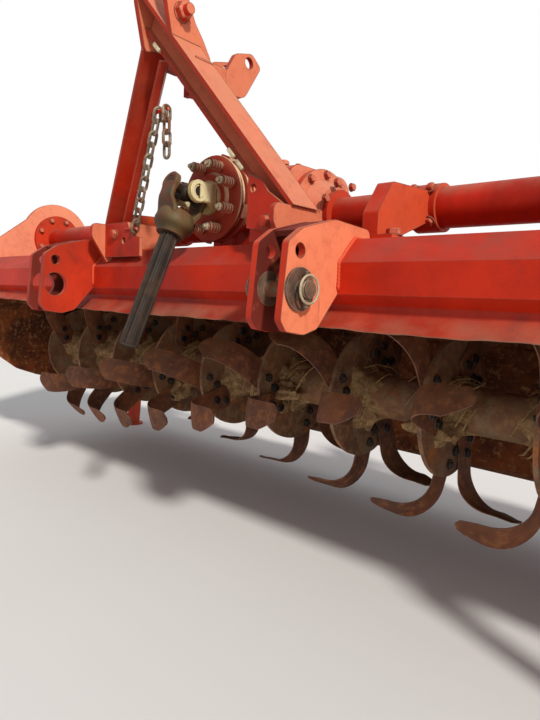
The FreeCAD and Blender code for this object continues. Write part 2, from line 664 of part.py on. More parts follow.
def leg_outline():
    """Corners of the closed outside of a leg: deep outer wall, slanted web, inner wall."""
    return [(0, 0), (0, LEG_DEPTH), (-LEG_WIDTH, LEG_INNER_START + LEG_INNER_DEPTH),
            (-LEG_WIDTH, LEG_INNER_START)]


def leg_channel_outline():
    """Corners of a leg's section, open to the front."""
    slope = (LEG_DEPTH - LEG_INNER_START - LEG_INNER_DEPTH) / LEG_WIDTH
    web = LEG_WALL * math.hypot(1, slope)
    outside = leg_outline()
    return outside + [
        (-LEG_WIDTH + LEG_WALL, LEG_INNER_START),
        (-LEG_WIDTH + LEG_WALL, LEG_INNER_START + LEG_INNER_DEPTH + slope * LEG_WALL - web),
        (-LEG_WALL, LEG_DEPTH - slope * LEG_WALL - web),
        (-LEG_WALL, 0)]


def leg_length():
    """Length of a leg from the beam's top to the kink."""
    foot, top = mast_axis(1)
    return (top - foot).Length


def along_leg(outline, side):
    """Whole length of a leg; the right one goes on to the inside of the left head plate."""
    beyond = LEG_BEYOND if side > 0 else 0.0
    leg = in_leg_frame(outline, side, -LEG_DEPTH, leg_length() + LEG_DEPTH + beyond)
    if side < 0:
        return leg
    end = MAST_TOP_X - HEAD_PLATE
    return leg.cut(block(-end, -HALF_WIDTH, -TUBE_Y, TUBE_Y, MAST_TOP_Z, 2 * TOP_LINK_Z))


def leg_envelope(side):
    """Solid space that a mast leg takes up, to trim what is welded against it."""
    return along_leg(leg_outline(), side)


def leg_inner_x(z):
    """Distance of a leg's inner wall from the middle plane at a height."""
    share = (z - BEAM_TOP_Z) / (MAST_TOP_Z - BEAM_TOP_Z)
    foot, top = mast_axis(1)
    lean = (top - foot).z / math.hypot((top - foot).x, (top - foot).z)
    return foot.x + (top.x - foot.x) * share - LEG_WIDTH / lean


def chain_hang():
    """Upper end of the check chain beside the left leg, and the way that it hangs."""
    foot, top = mast_axis(-1)
    edge = foot + (top - foot) * CHAIN_EYE_SHARE
    upper = V(-leg_inner_x(edge.z) + CHAIN_STANDOFF, edge.y + CHAIN_SET_BACK, edge.z)
    way = V(*CHAIN_WAY)
    way.normalize()
    return upper, way


def mast_leg(side):
    """Bent channel leg, open to the front; the right one crosses in front of the left head."""
    leg = along_leg(leg_channel_outline(), side)
    floor = BEAM_TOP_Z + FOOT_HEIGHT
    below = 4 * LEG_DEPTH
    leg = leg.cut(block(-HALF_WIDTH, HALF_WIDTH, -below, TUBE_Y, floor - below, floor))
    if side > 0:
        return leg
    leg = leg.cut(leg_envelope(1))
    leg = max(leg.Solids, key=lambda solid: solid.Volume)
    upper, way = chain_hang()
    eye = upper - way * chain_seat(way)
    bar = rod_x(eye.y, eye.z, CHAIN_EYE_RADIUS, eye.x - CHAIN_STANDOFF - 2 * LEG_WALL,
                eye.x + CHAIN_TAIL_STEP + CHAIN_BAR)
    return leg.fuse(bar).removeSplitter()


def front_plate(corners, side):
    """Upright plate across a foot with (distance from the middle plane, height) corners."""
    points = [V(side * x, FOOT_PLATE_Y, z) for x, z in corners]
    face = Part.Face(Part.makePolygon(points + points[:1]))
    return face.extrude(V(0, FOOT_PLATE, 0))


def mast_foot(side):
    """Foot of a leg: side plate that reaches forward, box behind, and a front plate."""
    z0 = BEAM_TOP_Z
    z1 = z0 + FOOT_HEIGHT
    bevel_y = BEAM_FRONT_Y + BEAM_BEVEL
    low_y = bevel_y - FOOT_HEIGHT * 0.5
    low_z = z0 - FOOT_HEIGHT * 0.5
    side_outline = [(FOOT_FRONT_Y, z0 + 30), (FOOT_FRONT_Y, z1), (FOOT_REAR_Y, z1),
                    (FOOT_REAR_Y, z0), (bevel_y, z0), (low_y, low_z), (low_y - 8, low_z)]
    wing = plate_x(side_outline, side * (FOOT_OUTER_X - FOOT_PLATE), side * FOOT_OUTER_X,
                   [12, 16, 20, 0, 0, 0, 0])
    seat = block(side * FOOT_INNER_X, side * (FOOT_OUTER_X - FOOT_PLATE),
                 FOOT_PLATE_Y + FOOT_PLATE, FOOT_REAR_Y, z0, z1)
    if side > 0:
        front = front_plate([
            (FOOT_INNER_X, z0 + 27), (FOOT_INNER_X, z0 + EAR_RISE * 0.83),
            (FOOT_INNER_X + 6, z0 + EAR_RISE), (FOOT_INNER_X + 17, z0 + EAR_RISE * 0.94),
            (FOOT_INNER_X + 55, z1 + 30), (FOOT_OUTER_X - FOOT_PLATE, z1),
            (FOOT_OUTER_X - FOOT_PLATE, z0 + 12)], 1)
        hole_z = z0 + EAR_RISE * 0.66
    else:
        front = front_plate([
            (FOOT_OUTER_X - FOOT_PLATE, low_z + 12), (FOOT_OUTER_X - FOOT_PLATE, z1),
            (FOOT_INNER_X, z1), (FOOT_INNER_X - 22, z1 - 36), (FOOT_INNER_X - 55, z1 - 40),
            (FOOT_INNER_X - 55, low_z + 12)], -1)
        hole_z = z0 + FOOT_HEIGHT * 0.3
    hole = Part.makeCylinder(UPPER_HOLE_RADIUS * 0.7, FOOT_PLATE + 2,
                             V(side * (FOOT_INNER_X + 15), FOOT_PLATE_Y - 1, hole_z), Y_AXIS)
    standing = leg_envelope(side).cut(block(-HALF_WIDTH, HALF_WIDTH, -TUBE_Y, TUBE_Y, 0, z1))
    foot = fused([wing, seat, front.cut(hole)]).cut(standing)
    foot = max(foot.Solids, key=lambda solid: solid.Volume)
    if side > 0:
        return foot
    upper, way = chain_hang()
    eye = upper + way * ((CHAIN_LINKS - 1) * (CHAIN_INSIDE - CHAIN_PLAY) + chain_seat(way))
    arm = rod_x(eye.y, eye.z, CHAIN_EYE_RADIUS, -FOOT_INNER_X - 4, eye.x + CHAIN_BAR)
    return foot.fuse(arm)


def head_outline():
    """Outline of a head plate, whose tail lies behind the kink of its leg."""
    front = TOP_LINK_Y - HEAD_EYE_RADIUS
    return [
        (front, TOP_LINK_Z + HEAD_EYE_RADIUS), (TOP_LINK_Y + HEAD_EYE_RADIUS,
                                                TOP_LINK_Z + HEAD_EYE_RADIUS),
        (TOP_LINK_Y + HEAD_EYE_RADIUS - 2, TOP_LINK_Z - 66),
        (MAST_TOP_Y + 62, TOP_LINK_Z - 104), (MAST_TOP_Y + 84, MAST_TOP_Z + 18),
        (MAST_TOP_Y + LEG_DEPTH + 40, MAST_TOP_Z - 30), (MAST_TOP_Y + 20, MAST_TOP_Z - 30),
        (MAST_TOP_Y, MAST_TOP_Z), (front + 2, TOP_LINK_Z - 60),
    ]


def mast_head():
    """Two top link plates on the legs, each with a bolt that sticks out."""
    bolt_z = TOP_LINK_Z - HEAD_BOLT_DROP
    inside = MAST_TOP_X - HEAD_PLATE
    plates = []
    for side in (-1, 1):
        x0 = side * inside
        x1 = side * MAST_TOP_X
        plate = plate_x(head_outline(), x0, x1, [33, 33, 20, 10, 10, 12, 10, 0, 10])
        plate = plate.cut(rod_x(TOP_LINK_Y, TOP_LINK_Z, TOP_LINK_RADIUS, x0, x1))
        plate = plate.cut(leg_envelope(side)).cut(leg_envelope(1))
        plate = max(plate.Solids, key=lambda solid: solid.Volume)
        bolt = rod_x(HEAD_BOLT_Y, bolt_z, HEAD_BOLT_RADIUS, x0,
                     side * (MAST_TOP_X + HEAD_BOLT_REACH))
        plates.append(fused([plate, bolt.cut(leg_envelope(1))]))
    return plates


def lug_outline():
    """Outline of a rear lug from the back of the legs to its hole."""
    hole_z = TOP_LINK_Z - LUG_HOLE_DROP
    return [(LUG_HOLE_Y - 110, hole_z - 48), (LUG_HOLE_Y - 73, hole_z - 41),
            (LUG_HOLE_Y - 44, hole_z + 8), (LUG_HOLE_Y + 9, hole_z + 24),
            (LUG_HOLE_Y + 41, hole_z), (LUG_HOLE_Y - 12, hole_z - 85),
            (LUG_HOLE_Y - 110, hole_z - 92)]


def mast_lugs():
    """Pair of drilled lugs on a short plate that an arm holds against the right leg's back."""
    hole_z = TOP_LINK_Z - LUG_HOLE_DROP
    pieces = []
    for side in (-1, 1):
        x1 = side * LUG_X
        x0 = x1 - side * LUG_PLATE
        plate = plate_x(lug_outline(), x0, x1, [0, 20, 16, 20, 10, 30, 0])
        pieces.append(plate.cut(rod_x(LUG_HOLE_Y, hole_z, LUG_HOLE_RADIUS, x0, x1)))
    back_y = LUG_HOLE_Y - 110
    pieces.append(block(-LUG_X, LUG_X, back_y - LUG_PLATE, back_y, hole_z - 94, hole_z - 46))
    arm = block(LUG_X - LUG_PLATE, LUG_X + LUG_ARM, MAST_TOP_Y + LEG_DEPTH / 2, back_y,
                hole_z - 94, hole_z - 58)
    pieces.append(arm)
    lugs = fused(pieces)
    lugs = lugs.cut(leg_envelope(1))
    return max(lugs.Solids, key=lambda solid: solid.Volume)


def chain_link(quarter):
    """Flat oval link about the origin, long way up Z, turned a quarter on every other link."""
    def oval(grow, thick):
        half = CHAIN_WIDTH / 2 - CHAIN_BAR + grow
        straight = CHAIN_INSIDE / 2 - (CHAIN_WIDTH / 2 - CHAIN_BAR)
        shape = rod_x(0, straight, half, -thick, thick)
        shape = shape.fuse(rod_x(0, -straight, half, -thick, thick))
        return shape.fuse(block(-thick, thick, -half, half, -straight, straight))
    link = oval(CHAIN_BAR, CHAIN_BAR / 2).cut(oval(0, CHAIN_BAR)).removeSplitter()
    return turned(link, V(0, 0, 0), Z_AXIS, 90 * quarter)


def chain_run(start, direction, count):
    """Links that hang one in the next from a point, along a direction."""
    direction = V(direction)
    direction.normalize()
    turn = FreeCAD.Rotation(V(0, 0, -1), direction)
    links = []
    for i in range(count):
        link = chain_link(i % 2)
        middle = start + direction * (i * (CHAIN_INSIDE - CHAIN_PLAY))
        link.Placement = FreeCAD.Placement(middle, turn).multiply(link.Placement)
        links.append(link)
    return links


def chain_seat(way):
    """Distance from the middle of an end link to the middle of the sideways bar that holds it."""
    tilt = CHAIN_BAR / 2 * abs(way.x / way.z)
    return CHAIN_INSIDE / 2 - CHAIN_EYE_RADIUS - tilt - CHAIN_PLAY


def mast_chain():
    """Check chain from the left leg to its foot, with a short tail beside it."""
    upper, way = chain_hang()
    tail_way = V(*CHAIN_TAIL_WAY)
    tail_way.normalize()
    eye = upper - way * chain_seat(way)
    tail_top = eye + V(CHAIN_TAIL_STEP, 0, 0) + tail_way * chain_seat(tail_way)
    return chain_run(upper, way, CHAIN_LINKS) + chain_run(tail_top, tail_way, CHAIN_TAIL_LINKS)


def clutch_back_y():
    """Rear face of the clutch's last disc."""
    return CLUTCH_FRONT_Y + CLUTCH_DISCS * CLUTCH_DISC + (CLUTCH_DISCS - 1) * CLUTCH_GAP


def slip_clutch():
    """Friction discs on a hub, pressed together by a ring of springs on bolts."""
    pieces = [Part.makeCylinder(CLUTCH_RADIUS * 0.62, clutch_back_y() - CLUTCH_FRONT_Y,
                                V(0, CLUTCH_FRONT_Y, CROSS_Z), Y_AXIS)]
    for i in range(CLUTCH_DISCS):
        y0 = CLUTCH_FRONT_Y + i * (CLUTCH_DISC + CLUTCH_GAP)
        radius = CLUTCH_RADIUS - (6 if i % 2 else 0)
        pieces.append(Part.makeCylinder(radius, CLUTCH_DISC, V(0, y0, CROSS_Z), Y_AXIS))
    whole = fused(pieces)
    springs = []
    for i in range(CLUTCH_SPRINGS):
        angle = 2 * math.pi * (i + 0.5) / CLUTCH_SPRINGS
        x = CLUTCH_SPRING_CIRCLE * math.cos(angle)
        z = CROSS_Z + CLUTCH_SPRING_CIRCLE * math.sin(angle)
        springs.append(Part.makeCylinder(CLUTCH_SPRING_RADIUS, CLUTCH_SPRING_LENGTH,
                                         V(x, CLUTCH_FRONT_Y - CLUTCH_SPRING_LENGTH, z), Y_AXIS))
        springs.append(Part.makeCylinder(CLUTCH_SPRING_RADIUS * 0.45, 10,
                                         V(x, CLUTCH_FRONT_Y - CLUTCH_SPRING_LENGTH - 10, z),
                                         Y_AXIS))
    return fused([whole] + springs)


def input_yoke():
    """Fixed yoke on the clutch hub: two ears that carry the cross from side to side."""
    centre = V(0, CROSS_Y, CROSS_Z)
    hub_front = CROSS_Y + YOKE_HUB_GAP
    pieces = [Part.makeCylinder(YOKE_HUB_RADIUS, CLUTCH_FRONT_Y - hub_front,
                                V(0, hub_front, CROSS_Z), Y_AXIS)]
    flange = YOKE_HUB_RADIUS + 12
    pieces.append(block(-EAR_INSIDE - EAR, EAR_INSIDE + EAR, hub_front, CLUTCH_FRONT_Y,
                        CROSS_Z - EAR_RADIUS - 4, CROSS_Z + EAR_RADIUS + 4))
    for side in (-1, 1):
        x0 = side * EAR_INSIDE
        x1 = side * (EAR_INSIDE + EAR)
        outline = [(CROSS_Y, CROSS_Z - EAR_RADIUS), (CROSS_Y, CROSS_Z + EAR_RADIUS),
                   (hub_front, CROSS_Z + EAR_RADIUS + 4), (hub_front, CROSS_Z - EAR_RADIUS - 4)]
        ear = plate_x(outline, x0, x1).fuse(rod_x(centre.y, centre.z, EAR_RADIUS, x0, x1))
        bore = rod_x(centre.y, centre.z, CROSS_PIN_RADIUS + RUNNING_GAP, x0, x1)
        pieces.append(ear.removeSplitter().cut(bore))
    return fused(pieces)


def on_shaft(shape):
    """Copy of a shape drawn about the cross at the origin, straight down, leaned forward."""
    copy = shape.copy()
    copy.rotate(V(0, 0, 0), X_AXIS, -SHAFT_LEAN)
    copy.translate(V(0, CROSS_Y, CROSS_Z))
    return copy


def joint_cross():
    """Cross of the universal joint with its four journals."""
    reach = EAR_INSIDE + EAR - 1
    across = Part.makeCylinder(CROSS_PIN_RADIUS, 2 * reach, V(-reach, 0, 0), X_AXIS)
    through = Part.makeCylinder(CROSS_PIN_RADIUS, 2 * reach, V(0, -reach, 0), Y_AXIS)
    middle = Part.makeSphere(CROSS_PIN_RADIUS * 1.75)
    return on_shaft(fused([middle, across, through]))


def outer_yoke():
    """Yoke below the cross, with its ears in front and behind, ending in a collar."""
    hub = Part.makeCylinder(YOKE_HUB_RADIUS - 4, COLLAR_LENGTH,
                            V(0, 0, -YOKE_HUB_GAP - COLLAR_LENGTH), Z_AXIS)
    pieces = [hub, Part.makeCylinder(YOKE_HUB_RADIUS + 6, 10, V(0, 0, -YOKE_HUB_GAP - 10), Z_AXIS)]
    half_width = EAR_RADIUS
    for way in (-1, 1):
        y0 = way * EAR_INSIDE
        y1 = way * (EAR_INSIDE + EAR)
        ear = block(-half_width, half_width, y0, y1, -YOKE_HUB_GAP - 8, 0)
        round_end = Part.makeCylinder(half_width, EAR, V(0, min(y0, y1), 0), Y_AXIS)
        bore = Part.makeCylinder(CROSS_PIN_RADIUS, EAR, V(0, min(y0, y1), 0), Y_AXIS)
        pieces.append(ear.fuse(round_end).removeSplitter().cut(bore))
    return on_shaft(fused(pieces))


def spline_shaft():
    """Splined inner half of the drive shaft, bare at its free end."""
    start = YOKE_HUB_GAP + COLLAR_LENGTH
    length = SHAFT_LENGTH - start
    core = Part.makeCylinder(SPLINE_ROOT_RADIUS, length, V(0, 0, -SHAFT_LENGTH), Z_AXIS)
    pieces = [core]
    for i in range(SPLINE_KEYS):
        key = block(-SPLINE_KEY_WIDTH / 2, SPLINE_KEY_WIDTH / 2, 0, SPLINE_RADIUS,
                    -SHAFT_LENGTH, -start)
        pieces.append(turned(key, V(0, 0, 0), Z_AXIS, 360.0 * i / SPLINE_KEYS))
    return on_shaft(fused(pieces))


def flange_pitch():
    """Distance between flanges, which share the width evenly."""
    return (HALF_WIDTH - END_FLANGE_ROOM) / FLANGES_EACH_SIDE


def flange_places():
    """Place of every tine flange along the rotor."""
    pitch = flange_pitch()
    return [pitch * i for i in range(-FLANGES_EACH_SIDE, FLANGES_EACH_SIDE + 1)]


def rotor_shaft():
    """Rotor tube with its stubs and its tine flanges."""
    end = HALF_WIDTH - 12
    tube = ring_x(ROTOR_Y, ROTOR_Z, ROTOR_TUBE_RADIUS, ROTOR_TUBE_RADIUS - ROTOR_TUBE_WALL,
                  -end, end)
    pieces = [tube]
    for side in (-1, 1):
        pieces.append(rod_x(ROTOR_Y, ROTOR_Z, STUB_RADIUS, side * (end - 40),
                            side * (HALF_WIDTH + (STUB_LENGTH if side > 0 else
                                                  PLATE + BEARING_LENGTH - 3))))
        pieces.append(rod_x(ROTOR_Y, ROTOR_Z, ROTOR_TUBE_RADIUS, side * (end - 8), side * end))
    for x in flange_places():
        pieces.append(ring_x(ROTOR_Y, ROTOR_Z, FLANGE_RADIUS, ROTOR_TUBE_RADIUS - 1,
                             x - FLANGE_THICK / 2, x + FLANGE_THICK / 2))
    return fused(pieces)


def tine_height():
    """Height of a blade above its root, measured along its own lean."""
    lean = math.radians(TINE_LEAN)
    across = TINE_ROOT_RADIUS * math.sin(lean)
    return math.sqrt(TINE_TIP_RADIUS ** 2 - across ** 2) - TINE_ROOT_RADIUS * math.cos(lean)


def tine():
    """Curved blade that stands up from a flange at X = 0, bends over to +X and leans to -Y."""
    tip = tine_height()
    bend = TINE_BEND_RADIUS
    half = FLANGE_THICK / 2
    quarter = math.cos(math.radians(45))
    centre_x = half + bend
    centre_z = tip - bend
    thin = bend - TINE_THICK
    low = -TINE_WIDTH
    far = half + TINE_REACH
    section = [
        Part.LineSegment(V(half, 0, low), V(half, 0, centre_z)).toShape(),
        Part.Arc(V(half, 0, centre_z),
                 V(centre_x - bend * quarter, 0, centre_z + bend * quarter),
                 V(centre_x, 0, tip)).toShape(),
        Part.LineSegment(V(centre_x, 0, tip), V(far, 0, tip)).toShape(),
        Part.LineSegment(V(far, 0, tip), V(far, 0, tip - TINE_THICK)).toShape(),
        Part.LineSegment(V(far, 0, tip - TINE_THICK), V(centre_x, 0, tip - TINE_THICK)).toShape(),
        Part.Arc(V(centre_x, 0, tip - TINE_THICK),
                 V(centre_x - thin * quarter, 0, centre_z + thin * quarter),
                 V(half + TINE_THICK, 0, centre_z)).toShape(),
        Part.LineSegment(V(half + TINE_THICK, 0, centre_z), V(half + TINE_THICK, 0, low)).toShape(),
        Part.LineSegment(V(half + TINE_THICK, 0, low), V(half, 0, low)).toShape(),
    ]
    width = TINE_WIDTH + TINE_SWEEP * 2
    strip = Part.Face(Part.Wire(section))
    strip.translate(V(0, -width, 0))
    strip = strip.extrude(V(0, 2 * width, 0))
    w = TINE_WIDTH / 2
    mid = tip / 2
    outline = [
        Part.Arc(V(0, -w, 0), V(0, -w - TINE_SWEEP * 0.16, mid),
                 V(0, -w - TINE_SWEEP, tip + 1)).toShape(),
        Part.LineSegment(V(0, -w - TINE_SWEEP, tip + 1), V(0, w - TINE_SWEEP, tip + 1)).toShape(),
        Part.Arc(V(0, w - TINE_SWEEP, tip + 1), V(0, w - TINE_SWEEP * 0.16, mid),
                 V(0, w, 0)).toShape(),
        Part.Arc(V(0, w, 0), V(0, 0, -w * 0.55), V(0, -w, 0)).toShape(),
    ]
    swept = Part.Face(Part.Wire(outline)).extrude(V(far + 1, 0, 0))
    blade = strip.common(swept).common(tine_plan(half, tip))
    blade = turned(blade, V(0, 0, 0), X_AXIS, TINE_LEAN)
    blade.translate(V(0, 0, TINE_ROOT_RADIUS))
    return blade


def tine_plan(half, tip):
    """Prism over a tine's plan, whose rear edge curves in to a narrow tip."""
    lead = -TINE_WIDTH / 2 - TINE_SWEEP
    start = V(half + TINE_THICK + TINE_BEND_RADIUS / 8, TINE_WIDTH / 2, 0)
    end = V(half + TINE_REACH, lead + TINE_TIP_WIDTH, 0)
    chord = end - start
    out = V(-chord.y, chord.x, 0)
    out.normalize()
    corners = [start, V(-1, start.y, 0), V(-1, 2 * lead, 0), V(end.x, 2 * lead, 0), end]
    edges = [Part.LineSegment(a, b).toShape() for a, b in zip(corners, corners[1:])]
    edges.append(Part.Arc(end, start + chord * 0.5 + out * TINE_BELLY, start).toShape())
    plan = Part.Face(Part.Wire(edges))
    plan.translate(V(0, 0, -TINE_WIDTH))
    return plan.extrude(V(0, 0, tip + TINE_WIDTH + 1))


def rotor_tines(hand):
    """All tines that bend to one side: three on each flange, a third of a turn apart."""
    blade = turned(tine(), V(0, 0, 0), Z_AXIS, 180)
    start = TINE_PHASE
    if hand > 0:
        blade = mirrored(blade)
        start += TINE_STAGGER
    tines = []
    for i, x in enumerate(flange_places()):
        at_end = abs(x) > flange_pitch() * (FLANGES_EACH_SIDE - 0.5)
        if at_end and (x > 0) == (hand > 0):
            continue
        for k in range(TINES_PER_SIDE):
            angle = start + FLANGE_TWIST * i + 360.0 * k / TINES_PER_SIDE
            copy = turned(blade, V(0, 0, 0), X_AXIS, angle)
            copy.translate(V(x, ROTOR_Y, ROTOR_Z))
            tines.append(copy)
    return tines


def hinge_spans():
    """X range of each fixed knuckle and of the apron's knuckle beside it, by side."""
    places = [HALF_WIDTH * share for share in HINGE_SHARES]
    return [(x, x + KNUCKLE, x + KNUCKLE + KNUCKLE_GAP, x + 2 * KNUCKLE) for x in places]


def apron_hinge():
    """Hinge pin along the hood's rear edge, with the knuckles that stand on the hood."""
    pieces = [rod_x(HINGE_Y, HINGE_Z, HINGE_PIN_RADIUS, -HALF_WIDTH + 60, HALF_WIDTH - 60)]
    outer = HOOD_RADIUS + SHEET
    for x0, x1, _, _ in hinge_spans():
        knuckle = rod_x(HINGE_Y, HINGE_Z, KNUCKLE_RADIUS, x0, x1)
        strap = ring_x(ROTOR_Y, ROTOR_Z, outer + 6, outer, x0, x1)
        edge = math.radians(HOOD_END_ANGLE)
        sector = plate_x([(ROTOR_Y, ROTOR_Z),
                          (ROTOR_Y + 2 * outer * math.cos(edge), ROTOR_Z + 2 * outer * math.sin(edge)),
                          (ROTOR_Y + 2 * outer * math.cos(edge + 0.12),
                           ROTOR_Z + 2 * outer * math.sin(edge + 0.12))], x0, x1)
        bridge_low = on_rotor_circle(outer, edge)
        bridge_high = on_rotor_circle(outer + 6, edge + 0.03)
        bridge = plate_x([(bridge_low.y, bridge_low.z), (bridge_high.y, bridge_high.z),
                          (HINGE_Y, HINGE_Z + KNUCKLE_RADIUS * 0.9),
                          (HINGE_Y, HINGE_Z - 4)], x0, x1)
        pieces += [knuckle, strap.common(sector), bridge]
    return fused(pieces)


def apron():
    """Rear apron: bent sheet with a stiffened lower edge, hung on its own knuckles."""
    half = HALF_WIDTH - APRON_SIDE_GAP
    top_y = HINGE_Y + 6
    top_z = HINGE_Z - APRON_TOP_GAP
    bend_y = HINGE_Y + 26
    bend_z = HINGE_Z - 130
    sheet = plate_x([
        (top_y, top_z), (bend_y, bend_z), (APRON_BOTTOM_Y, APRON_BOTTOM_Z + SHEET),
        (APRON_BOTTOM_Y + APRON_FLANGE, APRON_BOTTOM_Z + SHEET),
        (APRON_BOTTOM_Y + APRON_FLANGE, APRON_BOTTOM_Z),
        (APRON_BOTTOM_Y - SHEET, APRON_BOTTOM_Z), (bend_y - SHEET, bend_z), (top_y - SHEET, top_z),
    ], -half, half)
    pieces = [sheet]
    for _, _, x0, x1 in hinge_spans():
        knuckle = rod_x(HINGE_Y, HINGE_Z, KNUCKLE_RADIUS, x0, x1)
        web = plate_x([(HINGE_Y - 6, HINGE_Z - 8), (HINGE_Y + 14, HINGE_Z - 8),
                       (top_y + 10, top_z - 44), (top_y - SHEET, top_z - 12),
                       (top_y - SHEET, top_z)], x0, x1)
        pieces += [knuckle, web]
    bore = rod_x(HINGE_Y, HINGE_Z, HINGE_PIN_RADIUS + RUNNING_GAP, -half - 1, half + 1)
    return fused(pieces).cut(bore)


def rod_direction():
    """Unit vector from the apron's lug up to the slot, with the distance between them."""
    way = V(0, ROD_SLOT[0] - ROD_EYE[0], ROD_SLOT[1] - ROD_EYE[1])
    reach = way.Length
    way.normalize()
    return way, reach


def on_rod(shape, x):
    """Copy of a shape drawn up Z from a rod's eye, turned onto the rod."""
    way, _ = rod_direction()
    copy = shape.copy()
    copy.Placement = FreeCAD.Placement(V(x, ROD_EYE[0], ROD_EYE[1]),
                                       FreeCAD.Rotation(Z_AXIS, way)).multiply(copy.Placement)
    return copy


def apron_lugs():
    """Lugs on the apron that carry the eyes of both pressure rods on pins."""
    solids = []
    eye_y, eye_z = ROD_EYE
    sheet_y = HINGE_Y + 26
    half_gap = ROD_EYE_RADIUS * 0.6 + 2
    for x in (-ROD_X, ROD_X):
        pieces = []
        for way in (-1, 1):
            x0 = x + way * half_gap
            outline = [(sheet_back_y(eye_z + APRON_LUG_UP), eye_z + APRON_LUG_UP), (eye_y + 14, eye_z + 16),
                       (eye_y + 14, eye_z - 16), (sheet_back_y(eye_z - APRON_LUG_DOWN), eye_z - APRON_LUG_DOWN)]
            pieces.append(plate_x(outline, x0, x0 + way * BRACKET_PLATE, [0, 14, 14, 0]))
        pieces.append(rod_x(eye_y, eye_z, ROD_PIN_RADIUS, x - half_gap - BRACKET_PLATE - 6,
                            x + half_gap + BRACKET_PLATE + 6))
        solids.append(fused(pieces))
    return solids


def sheet_back_y(z):
    """Rear face of the apron's lower panel at a height."""
    bend_y = HINGE_Y + 26
    bend_z = HINGE_Z - 130
    share = (bend_z - z) / (bend_z - APRON_BOTTOM_Z - SHEET)
    return bend_y + (APRON_BOTTOM_Y - bend_y) * share


def pressure_rod(x):
    """Rod with its eye, spring seat, stop nut and threaded tail."""
    _, reach = rod_direction()
    half_eye = ROD_EYE_RADIUS * 0.6
    eye = rod_x(0, 0, ROD_EYE_RADIUS, -half_eye, half_eye)
    bar = Part.makeCylinder(ROD_RADIUS, reach + ROD_TAIL, V(0, 0, 0), Z_AXIS)
    seat = Part.makeCylinder(SPRING_RADIUS + 2, 6, V(0, 0, SPRING_START - 6.3), Z_AXIS)
    nut_z = reach + ROD_SLOT_PLATE / 2 + 1
    nut = Part.makeCylinder(STOP_NUT_RADIUS + 4, STOP_NUT, V(0, 0, nut_z), Z_AXIS)
    whole = fused([eye, bar, seat, nut])
    whole = whole.cut(rod_x(0, 0, ROD_PIN_RADIUS + RUNNING_GAP, -half_eye, half_eye))
    return on_rod(whole, x)


def rod_spring(x):
    """Coil spring round a rod, drawn as a sleeve of its outer size."""
    outer = Part.makeCylinder(SPRING_RADIUS, SPRING_LENGTH, V(0, 0, SPRING_START), Z_AXIS)
    inner = Part.makeCylinder(SPRING_RADIUS - 2 * SPRING_BAR_RADIUS, SPRING_LENGTH,
                              V(0, 0, SPRING_START), Z_AXIS)
    return on_rod(outer.cut(inner), x)


def rod_bracket(x):
    """Bracket on the hood with the slotted plate that guides a pressure rod."""
    way, reach = rod_direction()
    half_gap = BRACKET_GAP / 2
    half_plate = ROD_SLOT_PLATE / 2
    outer = HOOD_RADIUS + SHEET
    length = ROD_SLOT_SIZE[1] + 44
    cross = block(-half_gap, half_gap, -length / 2, length / 2,
                  reach - half_plate, reach + half_plate)
    slot = block(-ROD_SLOT_SIZE[0] / 2, ROD_SLOT_SIZE[0] / 2, -ROD_SLOT_SIZE[1] / 2,
                 ROD_SLOT_SIZE[1] / 2, reach - half_plate - 1, reach + half_plate + 1)
    pieces = [on_rod(cross.cut(slot), x)]
    slope = V(0, way.z, -way.y)
    middle = V(0, ROD_SLOT[0], ROD_SLOT[1])
    rear_top = middle + slope * (length / 2) + way * half_plate
    front_top = middle - slope * (length / 2) + way * half_plate
    rear_low = middle + slope * (length / 2) - way * 26
    low_end = on_rotor_circle(0.96 * outer, math.radians(26))
    high_end = on_rotor_circle(0.93 * outer, math.radians(58))
    for sign in (-1, 1):
        x0 = x + sign * half_gap
        outline = [(front_top.y, front_top.z), (rear_top.y, rear_top.z),
                   (rear_low.y, rear_low.z), (low_end.y, low_end.z),
                   (high_end.y, high_end.z), (front_top.y - 24, front_top.z - 60)]
        cheek = plate_x(outline, x0, x0 + sign * BRACKET_PLATE, [8, 8, 10, 0, 0, 20])
        pieces.append(cheek.cut(rod_x(ROTOR_Y, ROTOR_Z, outer, x0, x0 + sign * BRACKET_PLATE)))
    return fused(pieces)


def stand_bracket(side, hinge_y, hinge_z, foot_y, fold, anchor_y):
    """Clevis on the side plate with the pin of a stand and the web that stops it."""
    inner = PLATE_OUTSIDE
    tube0 = inner + STAND_CHEEK + STAND_SIDE_GAP
    outer = tube0 + STAND_TUBE + STAND_SIDE_GAP
    radius = STAND_TUBE / 2 + 6
    reach = STAND_REACH
    back = -fold
    pieces = []
    for x0, end_y in ((inner, anchor_y), (outer, hinge_y + back * reach)):
        outline = [(hinge_y + fold * radius, hinge_z + radius),
                   (hinge_y + fold * radius, hinge_z - radius),
                   (end_y, hinge_z - reach), (end_y, hinge_z + radius)]
        pieces.append(plate_x(outline, x0, x0 + STAND_CHEEK, 12))
    lean = math.atan2(foot_y - hinge_y, hinge_z)
    half = STAND_TUBE / 2
    web = block(inner, outer + STAND_CHEEK,
                back * (half + RUNNING_GAP), back * (half + RUNNING_GAP + STAND_CHEEK),
                STAND_CHEEK - reach, -STAND_CHEEK)
    web = turned(web, V(0, 0, 0), X_AXIS, math.degrees(lean))
    web.translate(V(0, hinge_y, hinge_z))
    pieces.append(web)
    pieces.append(rod_x(hinge_y, hinge_z, STAND_PIN_RADIUS, inner, outer + STAND_CHEEK + 8))
    whole = fused(pieces)
    return whole if side > 0 else mirrored(whole)


